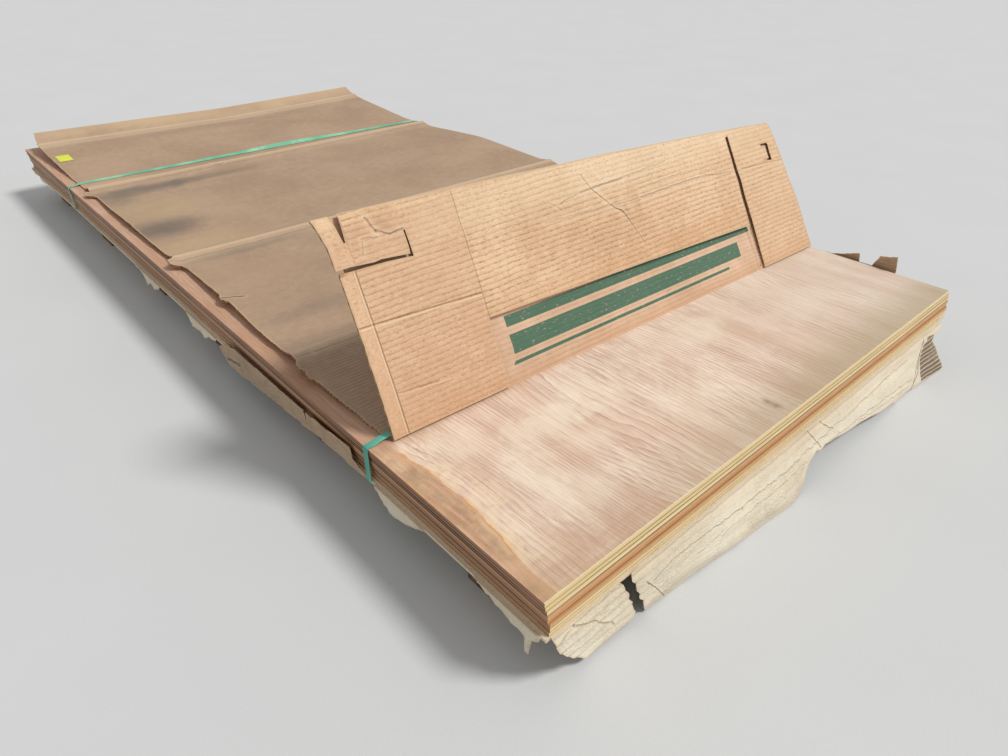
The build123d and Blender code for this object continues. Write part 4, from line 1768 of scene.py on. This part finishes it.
@dataclass
class Pad:
    """The pad under the sheets, with its torn end flap and the lips along its left side.

    Attributes:
        thickness: The board's thickness.
        cell: The end flap's mesh cell.
        drop: How deep the end flap's blank is.
        feet: How far the end flap stands out at its foot, by the place across, in mm.
        outline: The end flap's torn outline, across and below the fold, in mm.
    """

    thickness: float = 0.0045
    cell: float = 0.006
    drop: float = 0.092
    feet: tuple[tuple[int, float], ...] = (
        (0, 6.4), (171, 7.4), (346, 19.4), (537, 35.4), (671, 27.4), (1020, 26.4), (1171, 41.4), (1229, 39.4),
    )
    outline: tuple[Point2, ...] = (
        (7, 30), (7, 4.5), (17, -30), (40, -60), (66, -82), (84, -88), (141, -86), (154, -81), (164, -73),
        (158, -61), (156, -47), (149, -38), (148, -25), (140, -14), (138, -4), (129, 6), (157, 3), (154, -9),
        (163, -19), (164, -33), (171, -44), (173, -57), (181, -66), (181, -78), (188, -96), (551, -96),
        (589, -84), (611, -54), (639, -44), (655, -52), (673, -48), (811, -68), (991, -96), (1150, -96),
        (1174, -88), (1162, -54), (1143, -22), (1158, -12), (1192, -16), (1200, -4), (1217, 30),
    )

    def plate(self) -> Piece:
        """Models the flat part under the sheets.

        Returns:
            The part.
        """
        blank = Blank("pad_plate", (PAD_LEFT, PAD_NEAR), (PAD_RIGHT, FAR_EDGE), (24, 48))
        blank.bend(lambda u, v: (u, v, np.full_like(u, PAD_BOTTOM)))
        return blank.thicken(self.thickness, 1.0)

    def end_flap(self) -> Piece:
        """Models the torn flap that hangs from the near edge to the floor.

        Returns:
            The flap.
        """
        width = PAD_RIGHT - PAD_LEFT
        blank = Blank("pad_end_flap", (0.0, -self.drop), (width, 0.004), (round(width / self.cell), 30))
        blank.cell = self.cell
        blank.cut(metres(self.outline), keep=True)

        def shape(u: Array, v: Array) -> tuple:
            """Hangs and crumples the blank.

            Args:
                u: Places across from the left edge.
                v: Places below the fold, less than 0.

            Returns:
                X, Y and Z of each point.
            """
            down = np.clip(-v / self.drop, 0, 1.1)
            out = read(self.feet, u)
            ridge = 1 - np.abs(wander(u, v, 6.0, 26.0, 6.0)) * 2
            fold = 1 - np.abs(wander(u, v, 3.0, 55.0, 2.5)) * 2
            waves = np.sin(v * math.tau / 0.0165 + wander(u, v, 9.0, 9.0, 3.0))
            waves = waves * np.interp(u, [0.0, 0.15, 0.2, 1.0], [0.0011, 0.0009, 0.0002, 0.0])
            push = ridge * 0.0022 + fold * 0.0004 + wander(u, v, 12.0, 16.0, 7.0) * 0.0014 + waves
            push *= np.clip(down * 5, 0, 1)
            y = PAD_NEAR - 0.002 - out * down - push - np.clip(down * 12, 0, 1) * 0.003
            z = np.maximum(PAD_BOTTOM + 0.002 + v * 0.955, FLOOR_GAP)
            lifted = wander(u, v * 0, 22.0, 1.0, 5.5) * 0.004 * down
            return u + PAD_LEFT, y, np.maximum(z + lifted, FLOOR_GAP)

        blank.bend(shape)
        return blank.thicken(self.thickness * 0.7, -1.0)

    def build(self) -> None:
        """Models the pad's parts as one piece and dresses it."""
        parts = [self.end_flap(), self.plate()] + [lip.model() for lip in lips()]
        deselect()
        for part in parts:
            part.select_set(True)
        bpy.context.view_layer.objects.active = parts[0]
        bpy.ops.object.join()
        piece = bpy.context.object
        piece.name = piece.data.name = "pad_board"
        front, back, rim = pad_finishes()
        dress(piece, front, back, rim)
        stand_for(piece, "pad_board", "bottom_pad")


def pad_finishes() -> tuple[Material, Material, Material]:
    """Makes the pad's pale liner, its brown inner liner and its fluted rim, once.

    Returns:
        The three materials.
    """
    made = [bpy.data.materials.get(name) for name in ("pad_board", "pad_inner", "pad_flutes")]
    if all(made):
        return tuple(made)
    marks = (
        Mark((0.0, -1.1, PAD_BOTTOM), (1.2, 1.0, 0.02), rgb(216, 196, 166), 0.5),
        Mark((-0.3, -1.1, 0.0), (0.9, 1.0, 0.02), rgb(170, 162, 146), 0.5),
    )
    # Tears, cracks and creases of the pad's liner: their dark lines paint the shade in them, their pale halos
    # paint highlight beside them, partly worn paper.
    rows = (
        ((0.62, -0.002), (0.655, -0.045), 0.0018, 0.0012, 0.5, 0.008),
        ((0.662, -0.004), (0.7, -0.03), 0.0018, 0.0012, 0.45, 0.01),
        ((1.13, -0.01), (1.15, -0.06), 0.002, 0.0012, 0.55, 0.008),
        ((1.15, -0.01), (1.17, -0.07), 0.0022, 0.0012, 0.6, 0.01),
        ((1.12, -0.05), (1.18, -0.05), 0.0018, 0.001, 0.5, 0.01),
        ((0.0, -0.003), (1.2, -0.003), 0.0024, 0.001, 0.18, 0.003),
        ((0.41, -0.035), (1.02, -0.024), 0.0032, 0.0013, 0.1, 0.014, CREASE_SHADE, 0.25),
        ((0.235, -0.03), (0.41, -0.035), 0.0032, 0.0014, 0.13, 0.012, CREASE_SHADE, 0.3),
        ((0.2, -0.042), (0.235, -0.03), 0.0028, 0.0014, 0.2, 0.01, CREASE_SHADE, 0.3),
        ((0.184, -0.031), (0.218, -0.077), 0.0014, 0.0012, 0.55, 0.008),
        ((0.218, -0.077), (0.227, -0.093), 0.0014, 0.0012, 0.55, 0.006),
        ((0.3, -0.058), (0.6, -0.046), 0.002, 0.0008, 0.1, 0.014),
        ((0.7, -0.05), (1.04, -0.07), 0.0014, 0.0008, 0.3, 0.012),
        ((0.8, -0.062), (1.02, -0.082), 0.0014, 0.0008, 0.26, 0.012),
        ((0.01, -0.016), (0.044, -0.004), 0.0026, 0.0012, 0.22, 0.008, CREASE_SHADE, 0.3),
        ((0.044, -0.004), (0.0715, -0.02), 0.0026, 0.0014, 0.28, 0.008, CREASE_SHADE, 0.3),
        ((0.0715, -0.02), (0.117, -0.059), 0.0026, 0.0013, 0.24, 0.01, CREASE_SHADE, 0.3),
        ((1.103, -0.006), (1.077, -0.032), 0.002, 0.0014, 0.7, 0.01),
        ((1.077, -0.032), (1.065, -0.066), 0.002, 0.0014, 0.7, 0.01),
        ((1.065, -0.066), (1.034, -0.094), 0.002, 0.0014, 0.7, 0.01),
        ((1.085, -0.02), (1.045, -0.08), 0.0016, 0.001, 0.55, 0.014),
    )
    scores = tuple(Score(*row) for row in rows)
    bared = Mark((0.52, -1.12, 0.028), (0.066, 1.0, 0.07), rgb(112, 92, 76), 0.9)
    front = BoardFinish(
        "pad_board", rgb(240, 230, 208), rgb(218, 205, 180), rgb(146, 128, 104),
        flute=0.0085, relief=0.0003, lines=0.08, specks=0.16, crumple=0.0017, torn_tint=rgb(214, 194, 164),
        grit=0.24, bared=bared, marks=marks, scores=scores,
    )
    back = BoardFinish("pad_inner", rgb(190, 164, 136), rgb(158, 132, 106), rgb(112, 88, 66), crumple=0.002)
    rim = FluteEdgeFinish("pad_flutes", rgb(190, 158, 122), rgb(122, 94, 70))
    return front.build(), back.build(), rim.build()


@dataclass
class SideBoard:
    """An upright board along the pad's side, torn to an outline.

    Attributes:
        name: The piece's name.
        x: The pad's side that it stands on.
        outline: Its corners, as distance from the pad's near edge and height over its underside.
        thickness: The board's thickness.
        curl: How far its free edge curls outwards.
        hole: A cut-out's corners, given as the outline's.
        seed: Picks its waves.
        cell: Its mesh's cell.
    """

    name: str
    x: float
    outline: tuple[Point2, ...]
    thickness: float = 0.0045
    curl: float = 0.003
    hole: tuple[Point2, ...] = ()
    seed: float = 1.0
    cell: float = 0.005

    def model(self) -> Piece:
        """Models the board.

        Returns:
            The board.
        """
        corners = [(PAD_NEAR + y * MM, PAD_BOTTOM + z * MM) for y, z in self.outline]
        low = tuple(min(corner[axis] for corner in corners) for axis in (0, 1))
        high = tuple(max(corner[axis] for corner in corners) for axis in (0, 1))
        cells = tuple(max(6, round((high[axis] - low[axis]) / self.cell)) for axis in (0, 1))
        blank = Blank(self.name, low, high, cells)
        blank.cut(corners, keep=True)
        if self.hole:
            blank.cut([(PAD_NEAR + y * MM, PAD_BOTTOM + z * MM) for y, z in self.hole], keep=False)
        outwards = math.copysign(1.0, self.x)

        def shape(u: Array, v: Array) -> tuple:
            """Stands the blank up and curls its free edge.

            Args:
                u: Places along.
                v: Heights.

            Returns:
                X, Y and Z of each point.
            """
            away = np.abs(v - PAD_BOTTOM) / 0.03
            wave = wander(u, v, 16.0, 22.0, self.seed) * 0.0018 + wander(u, v, 60.0, 60.0, self.seed) * 0.0006
            push = np.clip(away, 0, 1) * (wave + self.curl * np.clip(away, 0, 1.4))
            x = self.x + outwards * np.maximum(push + FLAT, FLAT)
            jag = wander(u, v, 130.0, 130.0, self.seed + 4) * 0.0012
            return x, u + jag, v + jag * 0.7

        blank.bend(shape)
        return blank.thicken(self.thickness, outwards)

    def build(self, node: str) -> None:
        """Models the board, dresses it and lets it stand for its CAD solid.

        Args:
            node: The CAD solid's node.
        """
        piece = self.model()
        _, back, rim = pad_finishes()
        dress(piece, back, back, rim)
        stand_for(piece, "pad_board", node)


def lips() -> list[SideBoard]:
    """Lists the torn lips that hang along the pad's left side.

    Returns:
        A board for each.
    """
    outlines = (
        ((365, 3.5), (363, -5), (343, -19), (322, -27), (297, -23), (272, -15), (242, 0), (242, 3.5)),
        (
            (132, 3.5), (127, -1), (87, -11), (52, -17), (35, -19), (31, -43), (24, -42), (22, -17), (11, -9),
            (8, 3.5),
        ),
        ((942, 3.5), (949, -7), (987, -13), (1012, -27), (1037, -19), (1077, -25), (1097, -5), (1109, 3.5)),
        (
            (1257, 3.5), (1272, -10), (1307, -23), (1327, -13), (1349, -27), (1377, -5), (1412, -1),
            (1417, 3.5),
        ),
        (
            (2157, 3.5), (2177, -7), (2217, -5), (2237, -19), (2257, -5), (2327, -13), (2347, 0), (2407, -7),
            (2427, 3.5),
        ),
    )
    return [
        SideBoard(f"pad_lip_{index}", PAD_LEFT, outline, 0.003, 0.002, seed=index + 2.0)
        for index, outline in enumerate(outlines)
    ]


def flanges() -> dict[str, SideBoard]:
    """Lists the pad's flanges.

    Returns:
        A board for each CAD solid's node.
    """
    left = (
        (391, 0.5), (391, 8), (421, 15), (427, 39), (497, 33), (568, 26), (570, -1), (574, -1), (577, 27),
        (727, 24), (844, 22), (882, 14), (914, 2), (931, -9), (921, -23), (897, -33), (831, -31), (707, -21),
        (577, -11), (532, -6),
    )
    right = (
        (322, 0.5), (322, 54), (306, 58), (272, 61), (244, 69), (212, 81), (206, 61), (178, 61), (166, 88),
        (130, 97), (124, 64), (119, 24), (119, 0.5),
    )
    slot = ((902, -18), (837, -6), (835, -13), (899, -25))
    return {
        "left_flange": SideBoard("left_flange_board", PAD_LEFT, left, curl=0.001, hole=slot, seed=11.0),
        "right_flange": SideBoard("right_flange_board", PAD_RIGHT, right, curl=0.002, seed=12.0),
    }


@dataclass
class Strap:
    """A plastic band drawn round the stack.

    Attributes:
        name: The piece's name.
        node: The CAD solid that it stands for.
        y: The middle of the band.
        twist: The band's roll along its run over the top, as shares across and angles.
        finish: Its finish.
        width: Its width.
        thickness: Its thickness.
        lie: How high it lies over the top sheet, on the cover.
        pitch: The longest step of its mesh.
    """

    name: str
    node: str
    y: float
    twist: tuple[Point2, ...]
    finish: BandFinish
    width: float = 0.0127
    thickness: float = 0.0009
    lie: float = 0.0045
    pitch: float = 0.006

    def path(self) -> Array:
        """Lays the band's inner face round the stack.

        Returns:
            Points (x, z) of the closed path.
        """
        low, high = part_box(self.node)
        left, right = low[0] + 0.001, high[0] - 0.001
        top = STACK_TOP + self.lie
        corners = [
            (left, PAD_BOTTOM), (left, STACK_TOP - 0.0015), (left + 0.0008, STACK_TOP + 0.0003),
            (left + 0.0026, STACK_TOP + 0.0008), (left + 0.012, STACK_TOP + 0.001), (left + 0.03, top),
            (right - 0.02, top), (right - 0.003, STACK_TOP + 0.0012), (right - 0.0008, STACK_TOP + 0.0003),
            (right, STACK_TOP - 0.0015), (right, PAD_BOTTOM), (right - 0.002, PAD_BOTTOM - 0.0004),
            (left + 0.002, PAD_BOTTOM - 0.0004),
        ]
        points = []
        for (ax, az), (bx, bz) in zip(corners, corners[1:] + corners[:1]):
            steps = max(1, math.ceil(math.hypot(bx - ax, bz - az) / self.pitch))
            points += [(ax + (bx - ax) * i / steps, az + (bz - az) * i / steps) for i in range(steps)]
        return np.array(points)

    def build(self) -> None:
        """Models the band, dresses it and lets it stand for its CAD solid."""
        path = self.path()
        count = len(path)
        ring = np.vstack((path, path[:1]))
        length = np.concatenate(([0.0], np.cumsum(np.linalg.norm(np.diff(ring, axis=0), axis=1))))
        blank = Blank(self.name, (0.0, -self.width / 2), (float(count), self.width / 2), (count, 2))
        tangent = np.roll(path, -1, axis=0) - np.roll(path, 1, axis=0)
        tangent /= np.linalg.norm(tangent, axis=1)[:, None]
        tangent = np.vstack((tangent, tangent[:1]))

        def shape(u: Array, v: Array) -> tuple:
            """Lays the blank round the path and rolls it over the top.

            Args:
                u: Steps along the path.
                v: Places across the band.

            Returns:
                X, Y and Z of each point.
            """
            index = np.clip(np.round(u).astype(int), 0, count)
            x, z = ring[index, 0], ring[index, 1]
            normal_x, normal_z = -tangent[index, 1], tangent[index, 0]
            share = (x + SIDE) / (2 * SIDE)
            on_top = z > STACK_TOP + 0.003
            roll = np.where(on_top, np.radians(read(self.twist, share, 1.0)), 0.0)
            lift = np.abs(np.sin(roll)) * self.width * 0.5
            return (
                x + normal_x * (v * np.sin(roll) + lift),
                self.y + v * np.cos(roll),
                z + normal_z * (v * np.sin(roll) + lift),
            )

        blank.bend(shape, lambda u, v: (np.interp(u, np.arange(count + 1), length), v))
        activate(blank.piece)
        bpy.ops.object.mode_set(mode="EDIT")
        bpy.ops.mesh.select_all(action="SELECT")
        bpy.ops.mesh.remove_doubles(threshold=WELD)
        bpy.ops.object.mode_set(mode="OBJECT")
        piece = blank.thicken(self.thickness, 1.0)
        material = self.finish.build()
        dress(piece, material, material, material)
        stand_for(piece, "strap_band", self.node)


@dataclass
class Label:
    """The blank paper label on the cover, a little curled.

    Attributes:
        curl: How far its corners curl up.
        thickness: The paper's thickness.
        gap: How far it lies over the cover.
    """

    curl: float = 0.0012
    thickness: float = 0.0003
    gap: float = 0.0004

    def build(self, cover: Piece) -> None:
        """Models the label on the cover in place of its CAD solid, and dresses it.

        Args:
            cover: The cover that it lies on.
        """
        low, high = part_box("lot_label")
        blank = Blank("lot_label_paper", (low[0], low[1]), (high[0], high[1]), (14, 20))
        width, length = high[0] - low[0], high[1] - low[1]
        mesh = cover.data
        board = BVHTree.FromPolygons([v.co for v in mesh.vertices], [p.vertices for p in mesh.polygons])

        def shape(u: Array, v: Array) -> tuple:
            """Lays the blank on the cover and curls its corners.

            Args:
                u: Places across.
                v: Places along.

            Returns:
                X, Y and Z of each point.
            """
            across, along = (u - low[0]) / width, (v - low[1]) / length
            lift = self.curl * (np.clip(across - 0.7, 0, 1) * 2) ** 2
            lift = lift + self.curl * (np.clip(0.25 - along, 0, 1) * 3) ** 2
            under = [board.ray_cast(Vector((x, y, 1.0)), Vector((0.0, 0.0, -1.0)))[0].z for x, y in zip(u, v)]
            return u, v, np.array(under) + self.gap + lift

        blank.bend(shape)
        piece = blank.thicken(self.thickness, 1.0)
        material = LabelFinish().build()
        dress(piece, material, material, material)
        stand_for(piece, "label_paper", "lot_label")


# ---- studio


class Backdrop(Enum):
    """Plain studio floors."""

    PALE = rgb(214, 216, 217)


@dataclass
class Studio:
    """Plain floor, soft light and the camera.

    Attributes:
        position: Where the camera stands.
        yaw: Degrees that it looks to the right of +Y.
        pitch: Degrees that it looks down.
        roll: Degrees that it leans.
        focal: Focal length in pixels of the picture's width.
        picture: The picture's width in pixels.
        sun: Strength of the sun.
        sun_size: How many degrees wide the sun is, which softens its shadows.
        sky: Strength of the sky's light.
        backdrop: Brightness of the sky behind the floor.
        sensor: The camera's sensor width in mm.
        reach: Length of the floor's side.
        sun_tint: The sun's colour.
        sun_way: Which way its light falls.
        sky_tint: The sky's colour.
    """

    position: Point3 = (-0.993, -1.425, 0.8035)
    yaw: float = 42.45
    pitch: float = 33.58
    roll: float = 0.70
    focal: float = 689.6
    picture: int = 1008
    sun: float = 2.2
    sun_size: float = 14.0
    sky: float = 0.46
    backdrop: float = 0.68
    sensor: float = 36.0
    reach: float = 40.0
    sun_tint: Point3 = (1.0, 0.975, 0.94)
    sun_way: Point3 = (-0.5, 0.6, -1.0)
    sky_tint: Colour = (0.965, 0.97, 0.975, 1.0)

    def camera(self) -> None:
        """Sets the camera."""
        yaw, pitch, roll = (math.radians(value) for value in (self.yaw, self.pitch, self.roll))
        ahead = Vector((math.sin(yaw) * math.cos(pitch), math.cos(yaw) * math.cos(pitch), -math.sin(pitch)))
        level = Vector((math.cos(yaw), -math.sin(yaw), 0.0))
        upright = level.cross(ahead)
        right = math.cos(roll) * level + math.sin(roll) * upright
        up = right.cross(ahead)
        data = bpy.data.cameras.new("camera")
        data.sensor_width = self.sensor
        data.lens = self.sensor * self.focal / self.picture
        data.clip_start, data.clip_end = 0.05, 60.0
        camera = bpy.data.objects.new("camera", data)
        bpy.context.scene.collection.objects.link(camera)
        turn = Matrix((right, up, -ahead)).transposed().to_4x4()
        camera.matrix_world = Matrix.Translation(self.position) @ turn
        bpy.context.scene.camera = camera

    def floor(self) -> None:
        """Lays a large plain floor."""
        deselect()
        bpy.ops.mesh.primitive_plane_add(size=self.reach, location=(0.0, 0.0, 0.0))
        floor = bpy.context.object
        floor.name = floor.data.name = "floor"
        f = Finish("floor_paint")
        g = f.graph
        tone = g.mix(g.noise(f.point, 3.0, 4.0), Backdrop.PALE.value, rgb(208, 210, 211))
        dress(floor, f.dress(tone, 0.9, g.bump(g.noise(f.point, 400.0), 0.0002)))

    def light(self) -> None:
        """Sets a soft sun from the near right and an even sky."""
        data = bpy.data.lights.new("sun", "SUN")
        data.energy = self.sun
        data.angle = math.radians(self.sun_size)
        data.color = self.sun_tint
        sun = bpy.data.objects.new("sun", data)
        bpy.context.scene.collection.objects.link(sun)
        sun.rotation_euler = Vector(self.sun_way).to_track_quat("-Z", "Y").to_euler()
        world = bpy.data.worlds.new("sky")
        bpy.context.scene.world = world
        world.use_nodes = True
        background = world.node_tree.nodes["Background"]
        background.inputs["Color"].default_value = self.sky_tint
        g = Graph(world.node_tree)
        seen = g.add("LightPath").outputs["Is Camera Ray"]
        strength = g.times_add(seen, self.backdrop - self.sky, self.sky)
        world.node_tree.links.new(strength, background.inputs["Strength"])

    def build(self) -> None:
        """Sets up the studio."""
        self.camera()
        self.floor()
        self.light()
        bpy.context.scene.view_settings.view_transform = "Standard"
        log.info("set the studio")


def main() -> None:
    """Builds the looks in order."""
    logging.basicConfig(level=logging.INFO, format="%(name)s: %(message)s")
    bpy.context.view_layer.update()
    Studio().build()
    Sheets().build()
    Bearers().build()
    flap = Flap()
    cover = Cover(flap).build()
    Facing(flap).build()
    Pad().build()
    for node, flange in flanges().items():
        flange.build(node)
    near = BandFinish("strap_near_band", rgb(78, 168, 146), rgb(132, 206, 184))
    far = BandFinish("strap_far_band", rgb(104, 186, 150), rgb(156, 216, 182))
    rolls = (
        (0.0, 0.0), (0.05, 8.0), (0.25, 12.0), (0.42, 22.0), (0.54, 56.0), (0.62, 44.0), (0.74, 16.0),
        (0.95, 8.0), (1.0, 0.0),
    )
    Strap("near_band", "strap_near", STRAP_NEAR_Y, ((0.0, 0.0), (1.0, 0.0)), near).build()
    Strap("far_band", "strap_far", STRAP_FAR_Y, rolls, far).build()
    Label().build(cover)


if __name__ == "__main__":
    main()
